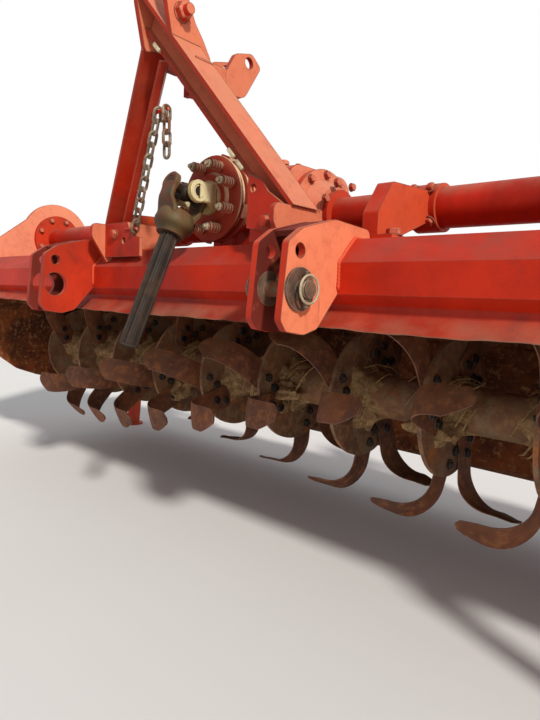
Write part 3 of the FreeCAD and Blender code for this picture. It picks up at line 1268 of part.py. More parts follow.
def stand(side, hinge_y, hinge_z, foot_y):
    """Square tube on a pin at its top, with a round foot on the floor."""
    x0 = PLATE_OUTSIDE + STAND_CHEEK + STAND_SIDE_GAP
    middle = x0 + STAND_TUBE / 2
    half = STAND_TUBE / 2
    lean = math.atan2(foot_y - hinge_y, hinge_z)
    length = math.hypot(foot_y - hinge_y, hinge_z)
    tube = block(x0, x0 + STAND_TUBE, -half, half, -length - half, 0)
    tube = tube.fuse(rod_x(0, 0, half, x0, x0 + STAND_TUBE)).removeSplitter()
    hollow = block(x0 + 4, x0 + STAND_TUBE - 4, -half + 4, half - 4, -length - half - 1, -half - 8)
    tube = tube.cut(hollow)
    tube = turned(tube, V(0, 0, 0), X_AXIS, math.degrees(lean))
    tube.translate(V(0, hinge_y, hinge_z))
    tube = tube.cut(block(x0 - STAND_TUBE, x0 + 2 * STAND_TUBE, foot_y - length, foot_y + length,
                          -4 * STAND_TUBE, STAND_FOOT))
    foot = Part.makeCylinder(STAND_FOOT_RADIUS, STAND_FOOT, V(middle, foot_y, 0), Z_AXIS)
    whole = fused([tube, foot])
    bore = rod_x(hinge_y, hinge_z, STAND_PIN_RADIUS + RUNNING_GAP, x0, x0 + STAND_TUBE)
    whole = whole.cut(bore)
    return whole if side > 0 else mirrored(whole)


def build():
    """Every sub-part by name: one shape, or a list of solids that do not touch."""
    parts = {
        "main_beam": main_beam(),
        "hood_shell": hood_shell(),
        "front_lip": front_lip(),
        "side_plate_left": side_plate(-1),
        "side_plate_right": side_plate(1),
        "rotor_bearing": rotor_bearing(),
        "drive_case": drive_case(),
        "drive_case_cover": drive_case_cover(),
        "gearbox": gearbox(),
        "gearbox_cover_left": gearbox_side_cover(-1),
        "gearbox_cover_right": gearbox_side_cover(1),
        "cross_tube_left": cross_tube(-1),
        "cross_tube_right": cross_tube(1),
        "tube_clamps": [tube_clamp(-CLAMP_X), tube_clamp(CLAMP_X)],
        "hitch_bracket_left": hitch_bracket(-1),
        "hitch_bracket_right": hitch_bracket(1),
        "bracket_webs": [bracket_web(-1), bracket_web(1)],
        "link_pin": link_pin(),
        "mast_leg_left": mast_leg(-1),
        "mast_leg_right": mast_leg(1),
        "mast_feet": [mast_foot(-1), mast_foot(1)],
        "mast_head": mast_head(),
        "mast_lugs": mast_lugs(),
        "mast_chain": mast_chain(),
        "slip_clutch": slip_clutch(),
        "input_yoke": input_yoke(),
        "joint_cross": joint_cross(),
        "outer_yoke": outer_yoke(),
        "spline_shaft": spline_shaft(),
        "rotor_shaft": rotor_shaft(),
        "tines_right_hand": rotor_tines(1),
        "tines_left_hand": rotor_tines(-1),
        "apron_hinge": apron_hinge(),
        "apron": apron(),
        "apron_lugs": apron_lugs(),
        "rod_brackets": [rod_bracket(-ROD_X), rod_bracket(ROD_X)],
    }
    for side, word in ((-1, "left"), (1, "right")):
        parts["pressure_rod_" + word] = pressure_rod(side * ROD_X)
        parts["rod_spring_" + word] = rod_spring(side * ROD_X)
    brackets = {"front": [], "rear": []}
    for name, side, hinge_y, hinge_z, foot_y, fold, anchor_y in STANDS:
        parts[name] = stand(side, hinge_y, hinge_z, foot_y)
        bracket = stand_bracket(side, hinge_y, hinge_z, foot_y, fold, anchor_y)
        brackets[name.split("_")[1]].append(bracket)
    parts["stand_brackets_front"] = brackets["front"]
    parts["stand_brackets_rear"] = brackets["rear"]
    return parts


def whole_box(parts):
    """Bounding box round every sub-part."""
    box = FreeCAD.BoundBox()
    for shape in parts.values():
        for solid in (shape if isinstance(shape, list) else [shape]):
            box.add(solid.optimalBoundingBox(False, False))
    return box


def origin_shift(parts):
    """Move that puts the origin at the middle of the footprint, on the floor."""
    box = whole_box(parts)
    return V(-box.Center.x, -box.Center.y, -box.ZMin)


def main():
    """Build every sub-part, move it to the shared origin and write its file."""
    os.makedirs("parts", exist_ok=True)
    parts = build()
    shift = origin_shift(parts)
    for name, shape in parts.items():
        solids = shape if isinstance(shape, list) else [shape]
        moved = []
        for solid in solids:
            copy = solid.copy()
            copy.translate(shift)
            moved.append(copy)
        whole = moved[0] if len(moved) == 1 else Part.makeCompound(moved)
        whole.exportStep("parts/" + name + ".step")
    print("origin shift", round(shift.x, 3), round(shift.y, 3), round(shift.z, 3))
    print("parts", len(parts))


if __name__ == "__main__":
    main()
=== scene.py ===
"""Look of a tractor-mounted rotary tiller that stands parked on its four stands.

Metres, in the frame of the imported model. Sizes of the new pieces are given in millimetres in
the drawing frame of the part: X along the rotor, Y = 0 at the front edge of the hitch
brackets, Z = 0 on the floor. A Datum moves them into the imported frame.
"""
import logging
import math
from collections.abc import Sequence
from dataclasses import dataclass, field
from enum import Enum

import bpy
import numpy as np
from mathutils import Matrix, Vector


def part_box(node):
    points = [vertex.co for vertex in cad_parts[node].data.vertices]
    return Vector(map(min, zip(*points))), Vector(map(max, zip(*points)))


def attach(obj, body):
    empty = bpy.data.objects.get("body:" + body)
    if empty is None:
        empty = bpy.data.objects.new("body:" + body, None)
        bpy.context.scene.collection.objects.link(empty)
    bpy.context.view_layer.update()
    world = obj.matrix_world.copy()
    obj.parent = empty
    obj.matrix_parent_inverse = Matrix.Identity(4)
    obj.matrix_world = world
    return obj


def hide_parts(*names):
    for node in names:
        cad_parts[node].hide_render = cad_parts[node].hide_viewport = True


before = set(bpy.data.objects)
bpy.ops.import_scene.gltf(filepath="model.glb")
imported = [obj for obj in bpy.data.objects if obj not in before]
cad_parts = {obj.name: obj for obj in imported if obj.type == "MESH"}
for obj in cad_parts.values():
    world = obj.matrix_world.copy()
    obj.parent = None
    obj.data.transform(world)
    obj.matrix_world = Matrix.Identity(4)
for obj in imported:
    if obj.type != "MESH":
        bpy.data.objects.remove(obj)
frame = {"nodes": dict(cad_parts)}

LOG = logging.getLogger("tiller")
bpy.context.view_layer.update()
Array = np.ndarray
Node = bpy.types.Node
Tree = bpy.types.NodeTree
Socket = bpy.types.NodeSocket
Material = bpy.types.Material
Colour = tuple[float, float, float, float]
MM = 0.001

# Places that several sub-assemblies share, in millimetres of the drawing frame.
ROTOR_Y, ROTOR_Z = 600.0, 400.0
BEAM_FRONT, BEAM_TOP, BEAM_BOTTOM = 151.0, 753.0, 651.0
INPUT_Z, CROSS_Y = 872.0, 165.0
TUBE_Y, TUBE_Z = 500.0, 852.0
HALF_WIDTH, PLATE_FACE = 1265.0, 1275.0
BRACKET_X, CLAMP_X = 412.5, 444.0


def linear(code: str) -> Colour:
    """Turn a written screen colour into the linear values that shaders use.

    Args:
        code: six hexadecimal digits.

    Returns:
        Linear red, green, blue and an alpha of 1.
    """
    levels = np.array([int(code[i:i + 2], 16) for i in (0, 2, 4)]) / 255.0
    values = np.where(levels <= 0.04045, levels / 12.92, ((levels + 0.055) / 1.055) ** 2.4)
    return (float(values[0]), float(values[1]), float(values[2]), 1.0)


@dataclass(frozen=True)
class Datum:
    """Place of the drawing frame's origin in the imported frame, in metres."""

    x: float
    y: float

    @classmethod
    def from_frame(cls) -> "Datum":
        """Read the origin off the main beam, whose front face has a known place."""
        low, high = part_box("main_beam")
        return cls((low[0] + high[0]) / 2, low[1] - BEAM_FRONT * MM)

    def at(self, points: Sequence[float] | Array) -> Array:
        """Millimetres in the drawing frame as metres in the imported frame."""
        return np.asarray(points, float) * MM + np.array([self.x, self.y, 0.0])


DATUM = Datum.from_frame()


class Axis(Enum):
    """Directions that fasteners and turned pieces point in."""

    RIGHT = (1.0, 0.0, 0.0)
    LEFT = (-1.0, 0.0, 0.0)
    REAR = (0.0, 1.0, 0.0)
    FRONT = (0.0, -1.0, 0.0)
    UP = (0.0, 0.0, 1.0)


def frame_of(axis: Sequence[float]) -> Array:
    """Right-handed axes whose third column points along a direction.

    Args:
        axis: the direction, of any length.

    Returns:
        The axes as the columns of a matrix.
    """
    along = np.asarray(axis, float)
    along = along / np.linalg.norm(along)
    helper = np.array([0.0, 0.0, 1.0]) if abs(along[2]) < 0.9 else np.array([1.0, 0.0, 0.0])
    first = np.cross(helper, along)
    first /= np.linalg.norm(first)
    return np.stack([first, np.cross(along, first), along], axis=1)


def steps_round(count: int) -> Array:
    """Even angles round a circle, from 0."""
    return np.arange(count) * 2 * np.pi / count


def grid_quads(rows: int, cols: int, wrap: bool = False) -> Array:
    """Faces of a grid of points, row by row.

    Args:
        rows: number of rows.
        cols: points in a row.
        wrap: whether the last column joins the first.

    Returns:
        Four indices a face, in order round it.
    """
    r, c = np.meshgrid(np.arange(rows - 1), np.arange(cols if wrap else cols - 1), indexing="ij")
    nxt = (c + 1) % cols
    return np.stack([r * cols + c, r * cols + nxt, (r + 1) * cols + nxt, (r + 1) * cols + c],
                    axis=-1).reshape(-1, 4)


@dataclass
class Bag:
    """Points and faces of one piece, in metres, before they become a mesh."""

    points: list[Array] = field(default_factory=list)
    quads: list[Array] = field(default_factory=list)
    tris: list[Array] = field(default_factory=list)
    count: int = 0

    def add(self, points: Array, quads: Array, tris: Array | None = None) -> None:
        """Put one more surface in.

        Args:
            points: its points.
            quads: its four-sided faces.
            tris: its triangles, if it has any.
        """
        self.points.append(points)
        self.quads.append(quads + self.count)
        if tris is not None and len(tris):
            self.tris.append(tris + self.count)
        self.count += len(points)

    def take(self, shape: "Shape") -> None:
        """Put a shape in as it stands."""
        self.add(shape.points, shape.quads, shape.tris)

    def repeat(self, shape: "Shape", places: Array, turns: Array) -> None:
        """Put copies of a shape in: each turned by its matrix, then moved to its place.

        Args:
            shape: the shape, in metres about its own origin.
            places: origins of the copies, n by 3.
            turns: turning matrices, n by 3 by 3.
        """
        copies = np.einsum("nij,pj->npi", turns, shape.points) + places[:, None, :]
        steps = np.arange(len(places))[:, None, None] * len(shape.points)
        self.add(copies.reshape(-1, 3), (shape.quads[None] + steps).reshape(-1, 4),
                 (shape.tris[None] + steps).reshape(-1, 3))

    def put(self, shape: "Shape", place: Array, axis: Sequence[float] = (0, 0, 1)) -> None:
        """Put one shape in with its Z along an axis."""
        self.repeat(shape, np.asarray(place, float)[None], frame_of(axis)[None])

    def mesh(self, name: str) -> bpy.types.Mesh:
        """Make the mesh: points, then the loops of all faces, written as whole arrays.

        Args:
            name: name of the mesh.

        Returns:
            The mesh.
        """
        points = np.concatenate(self.points)
        quads = np.concatenate(self.quads) if self.quads else np.zeros((0, 4), int)
        tris = np.concatenate(self.tris) if self.tris else np.zeros((0, 3), int)
        mesh = bpy.data.meshes.new(name)
        mesh.vertices.add(len(points))
        mesh.vertices.foreach_set("co", points.astype(np.float32).ravel())
        loops = np.concatenate([quads.ravel(), tris.ravel()]).astype(np.int32)
        mesh.loops.add(len(loops))
        mesh.loops.foreach_set("vertex_index", loops)
        starts = np.concatenate([np.arange(len(quads)) * 4,
                                 len(quads) * 4 + np.arange(len(tris)) * 3]).astype(np.int32)
        mesh.polygons.add(len(starts))
        mesh.polygons.foreach_set("loop_start", starts)
        mesh.update(calc_edges=True)
        mesh.validate()
        return mesh


@dataclass(frozen=True)
class Shape:
    """Surface that is made once and put in at many places."""

    points: Array
    quads: Array
    tris: Array


def closed_rings(rings: Array, ends: Array | None = None, flipped: bool = False) -> Shape:
    """Tube through rings of points, closed at both ends by fans of triangles.

    Args:
        rings: points of the rings, rows by columns by 3.
        ends: middle points of the two fans, or None for the middles of the end rings.
        flipped: whether the rings run the other way round, so that faces are turned over.

    Returns:
        The closed surface, in the units of its points.
    """
    rows, cols = rings.shape[:2]
    if ends is None:
        ends = np.stack([rings[0].mean(0), rings[-1].mean(0)])
    i = np.arange(cols)
    nxt = (i + 1) % cols
    last = (rows - 1) * cols
    fans = np.concatenate([np.stack([np.full(cols, rows * cols), nxt, i], axis=-1),
                           np.stack([np.full(cols, rows * cols + 1), last + i, last + nxt],
                                    axis=-1)])
    quads = grid_quads(rows, cols, True)
    if flipped:
        quads, fans = quads[:, ::-1], fans[:, [0, 2, 1]]
    return Shape(np.concatenate([rings.reshape(-1, 3), ends]), quads, fans)


def turned_shape(profile: Sequence[tuple[float, float]], sides: int,
                 six: Sequence[int] = ()) -> Shape:
    """Surface of revolution about Z, closed at both ends.

    Every point is (r cos a, r sin a, z) for the profile's (z, r) pairs and even angles a. Rows
    named in six follow a hexagon: their radius is divided by the cosine of the angle from the
    middle of the nearest flat.

    Args:
        profile: (z, radius) pairs in millimetres, from the back to the front.
        sides: points round.
        six: rows that are six-sided.

    Returns:
        The closed shape, in metres.
    """
    table = np.asarray(profile, float)
    angle = steps_round(sides)
    radius = np.repeat(table[:, 1:2], sides, axis=1)
    flat = np.cos(np.mod(angle, np.pi / 3) - np.pi / 6)
    for row in six:
        radius[row] = radius[row] / flat
    rings = np.stack([radius * np.cos(angle), radius * np.sin(angle),
                      np.repeat(table[:, 0:1], sides, axis=1)], axis=-1)
    ends = np.array([[0, 0, table[0, 0]], [0, 0, table[-1, 0]]])
    return closed_rings(rings * MM, ends * MM)


def bar_shape(path: Array, radius: float | Array, sides: int, up: Sequence[float],
              closed: bool = False) -> Shape:
    """Round bar carried along a path.

    Each section is a circle across the path's tangent, with one axis square to the given
    direction: point = path + r (cos a * side + sin a * over).

    Args:
        path: points in millimetres, n by 3.
        radius: one radius, or one for each point.
        sides: points round.
        up: direction that no tangent lies along.
        closed: whether the end joins the start.

    Returns:
        The bar, in metres, with closed ends if it is open.
    """
    tangent = (np.roll(path, -1, 0) - np.roll(path, 1, 0)) if closed else np.gradient(path, axis=0)
    tangent = tangent / np.linalg.norm(tangent, axis=1, keepdims=True)
    side = np.cross(np.asarray(up, float)[None], tangent)
    side = side / np.linalg.norm(side, axis=1, keepdims=True)
    over = np.cross(tangent, side)
    angle = steps_round(sides)
    reach = np.broadcast_to(np.asarray(radius, float), (len(path),))[:, None, None]
    rings = path[:, None] + reach * (np.cos(angle)[None, :, None] * side[:, None]
                                     + np.sin(angle)[None, :, None] * over[:, None])
    if not closed:
        return closed_rings(rings * MM, path[[0, -1]] * MM)
    i = np.arange(sides)
    nxt = (i + 1) % sides
    last = (len(path) - 1) * sides
    quads = np.concatenate([grid_quads(len(path), sides, True),
                            np.stack([last + i, last + nxt, nxt, i], axis=-1)])
    return Shape(rings.reshape(-1, 3) * MM, quads, np.zeros((0, 3), int))


def moved(shape: Shape) -> Shape:
    """A shape whose path was written in drawing millimetres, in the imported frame."""
    return Shape(shape.points + DATUM.at([0, 0, 0]), shape.quads, shape.tris)


class Graph:
    """Short words for wiring the nodes of one tree."""

    def __init__(self, tree: Tree) -> None:
        """Keep the tree and empty it."""
        self.tree = tree
        tree.nodes.clear()

    def node(self, kind: str, **settings: object) -> Node:
        """Add a node and set its named properties.

        Args:
            kind: type of the node.
            **settings: properties by their names.

        Returns:
            The node.
        """
        made = self.tree.nodes.new(kind)
        for key, value in settings.items():
            setattr(made, key, value)
        return made

    def feed(self, socket: Socket, value: Socket | float | Sequence[float]) -> None:
        """Link a socket into another one, or write a number on it.

        Args:
            socket: input to feed.
            value: socket to link, or number.
        """
        if isinstance(value, Socket):
            self.tree.links.new(value, socket)
        else:
            socket.default_value = value

    def math(self, how: str, a: Socket | float, b: Socket | float = 0.0,
             clamp: bool = False) -> Socket:
        """One sum on numbers.

        Args:
            how: operation.
            a: first number.
            b: second number.
            clamp: whether the result is kept between 0 and 1.

        Returns:
            The result.
        """
        made = self.node("ShaderNodeMath", operation=how, use_clamp=clamp)
        self.feed(made.inputs[0], a)
        self.feed(made.inputs[1], b)
        return made.outputs[0]

    def ramp(self, value: Socket, low: Socket | float, high: Socket | float) -> Socket:
        """Smooth step from 0 at low to 1 at high.

        Args:
            value: number to sort.
            low: where the step starts.
            high: where it ends.

        Returns:
            The step.
        """
        made = self.node("ShaderNodeMapRange", interpolation_type="SMOOTHSTEP")
        self.feed(made.inputs["Value"], value)
        self.feed(made.inputs["From Min"], low)
        self.feed(made.inputs["From Max"], high)
        return made.outputs["Result"]

    def mix(self, mask: Socket | float, a: Socket | Sequence[float],
            b: Socket | Sequence[float]) -> Socket:
        """Mix two colours, which a Mix node has on inputs 6 and 7 and output 2.

        Args:
            mask: share of the second colour.
            a: first colour.
            b: second colour.

        Returns:
            The mixed colour.
        """
        made = self.node("ShaderNodeMix", data_type="RGBA")
        self.feed(made.inputs[0], mask)
        self.feed(made.inputs[6], a)
        self.feed(made.inputs[7], b)
        return made.outputs[2]

    def place(self) -> Socket:
        """Object coordinates."""
        return self.node("ShaderNodeTexCoord").outputs["Object"]

    def noise(self, where: Socket, scale: Socket | float, detail: float = 4.0,
              rough: float = 0.55, twist: float = 0.0) -> Socket:
        """Cloudy noise between 0 and 1.

        Args:
            where: coordinates.
            scale: clouds in a metre.
            detail: octaves.
            rough: strength of the finer octaves.
            twist: how far the clouds are bent.

        Returns:
            The noise.
        """
        made = self.node("ShaderNodeTexNoise")
        self.feed(made.inputs["Vector"], where)
        self.feed(made.inputs["Scale"], scale)
        made.inputs["Detail"].default_value = detail
        made.inputs["Roughness"].default_value = rough
        made.inputs["Distortion"].default_value = twist
        return made.outputs["Fac"]

    def stretched(self, where: Socket, factors: Sequence[float]) -> Socket:
        """Coordinates multiplied by a factor on each axis.

        Args:
            where: coordinates.
            factors: one factor for each axis.

        Returns:
            The new coordinates.
        """
        made = self.node("ShaderNodeVectorMath", operation="MULTIPLY")
        self.feed(made.inputs[0], where)
        made.inputs[1].default_value = tuple(factors)
        return made.outputs[0]


class Effect(Enum):
    """Shader groups that more than one finish uses."""

    EDGES = "worn_edges"
    SPOTS = "rust_spots"
    SETTLED = "settled_dust"
    RUNS = "vertical_runs"
    SUNWARD = "sunward_side"
    INNER = "rotor_side"
    GRAIN = "surface_grain"


@dataclass
class EffectKit:
    """Builds every shader group once and hands out placed copies.

    Attributes:
        sun: direction of the side that is drawn faded and lighter, partly real fading and partly
            painted sunlight.
        trees: the groups by their effect.
    """

    sun: tuple[float, float, float] = (0.88, -0.16, 0.42)
    trees: dict[Effect, Tree] = field(default_factory=dict)

    def build(self) -> None:
        """Make all groups."""
        makers = {Effect.EDGES: self.edges, Effect.SPOTS: self.spots,
                  Effect.SETTLED: self.settled, Effect.RUNS: self.runs,
                  Effect.SUNWARD: self.sunward, Effect.INNER: self.inner,
                  Effect.GRAIN: self.grain}
        for effect, maker in makers.items():
            self.trees[effect] = maker()
            LOG.info("shader group %s", effect.value)

    @staticmethod
    def start(effect: Effect, sizes: dict[str, float],
              out: str = "Mask") -> tuple[Graph, Node, Node]:
        """Open a group with number inputs and one number output.

        Args:
            effect: which group.
            sizes: inputs and their values.
            out: name of the output.

        Returns:
            The graph, the node of its inputs and that of its output.
        """
        tree = bpy.data.node_groups.new(effect.value, "ShaderNodeTree")
        for key, value in sizes.items():
            made = tree.interface.new_socket(key, in_out="INPUT", socket_type="NodeSocketFloat")
            made.default_value = value
        tree.interface.new_socket(out, in_out="OUTPUT", socket_type="NodeSocketFloat")
        graph = Graph(tree)
        return graph, graph.node("NodeGroupInput"), graph.node("NodeGroupOutput")

    def edges(self) -> Tree:
        """Mask of convex edges: where the rounded normal leaves the flat one, broken by noise.

        Returns:
            The group.
        """
        g, inp, out = self.start(Effect.EDGES, {"Radius": 0.004, "Scale": 60.0, "Amount": 0.5})
        bevel = g.node("ShaderNodeBevel", samples=6)
        g.feed(bevel.inputs["Radius"], inp.outputs["Radius"])
        flat = g.node("ShaderNodeNewGeometry")
        dot = g.node("ShaderNodeVectorMath", operation="DOT_PRODUCT")
        g.feed(dot.inputs[0], bevel.outputs[0])
        g.feed(dot.inputs[1], flat.outputs["Normal"])
        turn = g.math("SUBTRACT", 1.0, dot.outputs["Value"], True)
        cloud = g.noise(g.place(), inp.outputs["Scale"], 5.0, 0.65)
        lifted = g.math("MULTIPLY", turn, g.math("ADD", cloud, inp.outputs["Amount"]))
        g.feed(out.inputs["Mask"], g.ramp(lifted, 0.03, 0.10))
        return g.tree

    def spots(self) -> Tree:
        """Mask of patches: two noises multiplied, above a level that Amount lowers.

        Returns:
            The group.
        """
        g, inp, out = self.start(Effect.SPOTS, {"Scale": 14.0, "Amount": 0.4, "Soft": 0.06})
        where = g.place()
        broad = g.noise(where, inp.outputs["Scale"], 6.0, 0.62, 0.4)
        fine = g.noise(where, g.math("MULTIPLY", inp.outputs["Scale"], 7.0), 4.0, 0.7)
        both = g.math("ADD", g.math("MULTIPLY", broad, 0.72), g.math("MULTIPLY", fine, 0.28))
        level = g.math("SUBTRACT", 0.78, g.math("MULTIPLY", inp.outputs["Amount"], 0.5))
        g.feed(out.inputs["Mask"], g.ramp(both, level, g.math("ADD", level, inp.outputs["Soft"])))
        return g.tree

    def settled(self) -> Tree:
        """Mask of dust that lies on faces that look up, broken by noise.

        Returns:
            The group.
        """
        g, inp, out = self.start(Effect.SETTLED, {"Scale": 9.0, "Amount": 0.6})
        coords = g.node("ShaderNodeTexCoord")
        split = g.node("ShaderNodeSeparateXYZ")
        g.feed(split.inputs[0], coords.outputs["Normal"])
        up = g.ramp(split.outputs["Z"], 0.15, 0.95)
        cloud = g.noise(coords.outputs["Object"], inp.outputs["Scale"], 6.0, 0.62)
        patch = g.ramp(cloud, 0.30, 0.66)
        mask = g.math("MULTIPLY", up, g.math("MULTIPLY", patch, inp.outputs["Amount"]), True)
        g.feed(out.inputs["Mask"], mask)
        return g.tree

    def runs(self) -> Tree:
        """Mask of runs down a wall: noise drawn out along Z on faces that stand up.

        Returns:
            The group.
        """
        g, inp, out = self.start(Effect.RUNS, {"Scale": 26.0, "Amount": 0.5})
        coords = g.node("ShaderNodeTexCoord")
        where = g.stretched(coords.outputs["Object"], (1.0, 1.0, 0.07))
        cloud = g.noise(where, inp.outputs["Scale"], 4.0, 0.6)
        breaks = g.noise(coords.outputs["Object"], 5.0, 3.0, 0.5)
        split = g.node("ShaderNodeSeparateXYZ")
        g.feed(split.inputs[0], coords.outputs["Normal"])
        wall = g.math("SUBTRACT", 1.0, g.math("ABSOLUTE", split.outputs["Z"]), True)
        level = g.math("SUBTRACT", 0.74, g.math("MULTIPLY", inp.outputs["Amount"], 0.3))
        mask = g.ramp(g.math("ADD", g.math("MULTIPLY", cloud, 0.75),
                             g.math("MULTIPLY", breaks, 0.25)), level, g.math("ADD", level, 0.1))
        g.feed(out.inputs["Mask"], g.math("MULTIPLY", mask, wall))
        return g.tree

    def sunward(self) -> Tree:
        """Mask of the sides that face the sun, with a cloudy border: where paint is faded and
        painted lighter as sunlight.

        Returns:
            The group.
        """
        g, inp, out = self.start(Effect.SUNWARD, {"Low": 0.35, "High": 0.95})
        coords = g.node("ShaderNodeTexCoord")
        dot = g.node("ShaderNodeVectorMath", operation="DOT_PRODUCT")
        g.feed(dot.inputs[0], coords.outputs["Normal"])
        dot.inputs[1].default_value = tuple(Vector(self.sun).normalized())
        cloud = g.noise(coords.outputs["Object"], 7.0, 5.0, 0.6)
        leaning = g.math("ADD", dot.outputs["Value"], g.math("MULTIPLY", cloud, 0.5))
        g.feed(out.inputs["Mask"], g.ramp(g.math("SUBTRACT", leaning, 0.25),
                                          inp.outputs["Low"], inp.outputs["High"]))
        return g.tree

    def inner(self) -> Tree:
        """Mask of faces that look in at the rotor, up to a height.

        A face looks in where its normal times the way from the axis is below 0; the upper
        border is ragged by noise.

        Returns:
            The group.
        """
        g, inp, out = self.start(Effect.INNER, {"Soft": 0.02, "Top": 9.0})
        coords = g.node("ShaderNodeTexCoord")
        away = g.node("ShaderNodeVectorMath", operation="SUBTRACT")
        g.feed(away.inputs[0], coords.outputs["Object"])
        away.inputs[1].default_value = tuple(DATUM.at((0.0, ROTOR_Y, ROTOR_Z)))
        dot = g.node("ShaderNodeVectorMath", operation="DOT_PRODUCT")
        g.feed(dot.inputs[0], away.outputs[0])
        g.feed(dot.inputs[1], coords.outputs["Normal"])
        low = g.math("MULTIPLY", inp.outputs["Soft"], -1.0)
        facing = g.math("SUBTRACT", 1.0, g.ramp(dot.outputs["Value"], low, inp.outputs["Soft"]))
        split = g.node("ShaderNodeSeparateXYZ")
        g.feed(split.inputs[0], coords.outputs["Object"])
        ragged = g.math("ADD", split.outputs["Z"],
                        g.math("MULTIPLY", g.noise(coords.outputs["Object"], 12.0, 5.0), 0.06))
        beyond = g.ramp(ragged, inp.outputs["Top"], g.math("ADD", inp.outputs["Top"], 0.03))
        g.feed(out.inputs["Mask"],
               g.math("MULTIPLY", facing, g.math("SUBTRACT", 1.0, beyond)))
        return g.tree

    def grain(self) -> Tree:
        """Height of a rough skin: broad dents, orange peel and fine pitting added up.

        Returns:
            The group.
        """
        g, inp, out = self.start(Effect.GRAIN, {"Scale": 90.0, "Dents": 0.5, "Pits": 0.5}, "Height")
        where = g.place()
        dents = g.math("MULTIPLY", g.noise(where, 6.0, 2.0, 0.5), inp.outputs["Dents"])
        peel = g.math("MULTIPLY", g.noise(where, inp.outputs["Scale"], 4.0, 0.6), 0.12)
        fine = g.noise(where, g.math("MULTIPLY", inp.outputs["Scale"], 4.0), 3.0, 0.7)
        pits = g.math("MULTIPLY", g.ramp(fine, 0.42, 0.62), inp.outputs["Pits"])
        total = g.math("ADD", dents, g.math("ADD", peel, g.math("MULTIPLY", pits, 0.08)))
        g.feed(out.inputs["Height"], total)
        return g.tree

    def use(self, graph: Graph, effect: Effect, **values: float) -> Socket:
        """Place a group in a material with its own values and give its output.

        Args:
            graph: graph of the material.
            effect: which group.
            **values: values of its inputs, in lower case.

        Returns:
            The group's output.
        """
        made = graph.node("ShaderNodeGroup")
        made.node_tree = self.trees[effect]
        for key, value in values.items():
            made.inputs[key.capitalize()].default_value = value
        return made.outputs[0]


@dataclass(frozen=True)
class Finish:
    """Common part of the finishes: a name and the way into its material.

    Attributes:
        name: name of the material.
    """

    name: str

    def open(self) -> tuple[Material, Graph, Node]:
        """Make an empty material with a Principled shader on its output.

        Returns:
            The material, its graph and its shader.
        """
        material = bpy.data.materials.new(self.name)
        material.use_nodes = True
        graph = Graph(material.node_tree)
        shader = graph.node("ShaderNodeBsdfPrincipled")
        output = graph.node("ShaderNodeOutputMaterial")
        graph.feed(output.inputs["Surface"], shader.outputs[0])
        return material, graph, shader

    @staticmethod
    def relief(graph: Graph, shader: Node, height: Socket, strength: float,
               depth: float) -> None:
        """Feed a height to the shader's normal through a Bump node.

        Args:
            graph: graph of the material.
            shader: its shader.
            height: the height.
            strength: strength of the bump.
            depth: height of 1, in metres.
        """
        bump = graph.node("ShaderNodeBump")
        bump.inputs["Strength"].default_value = strength
        bump.inputs["Distance"].default_value = depth
        graph.feed(bump.inputs["Height"], height)
        graph.feed(shader.inputs["Normal"], bump.outputs[0])


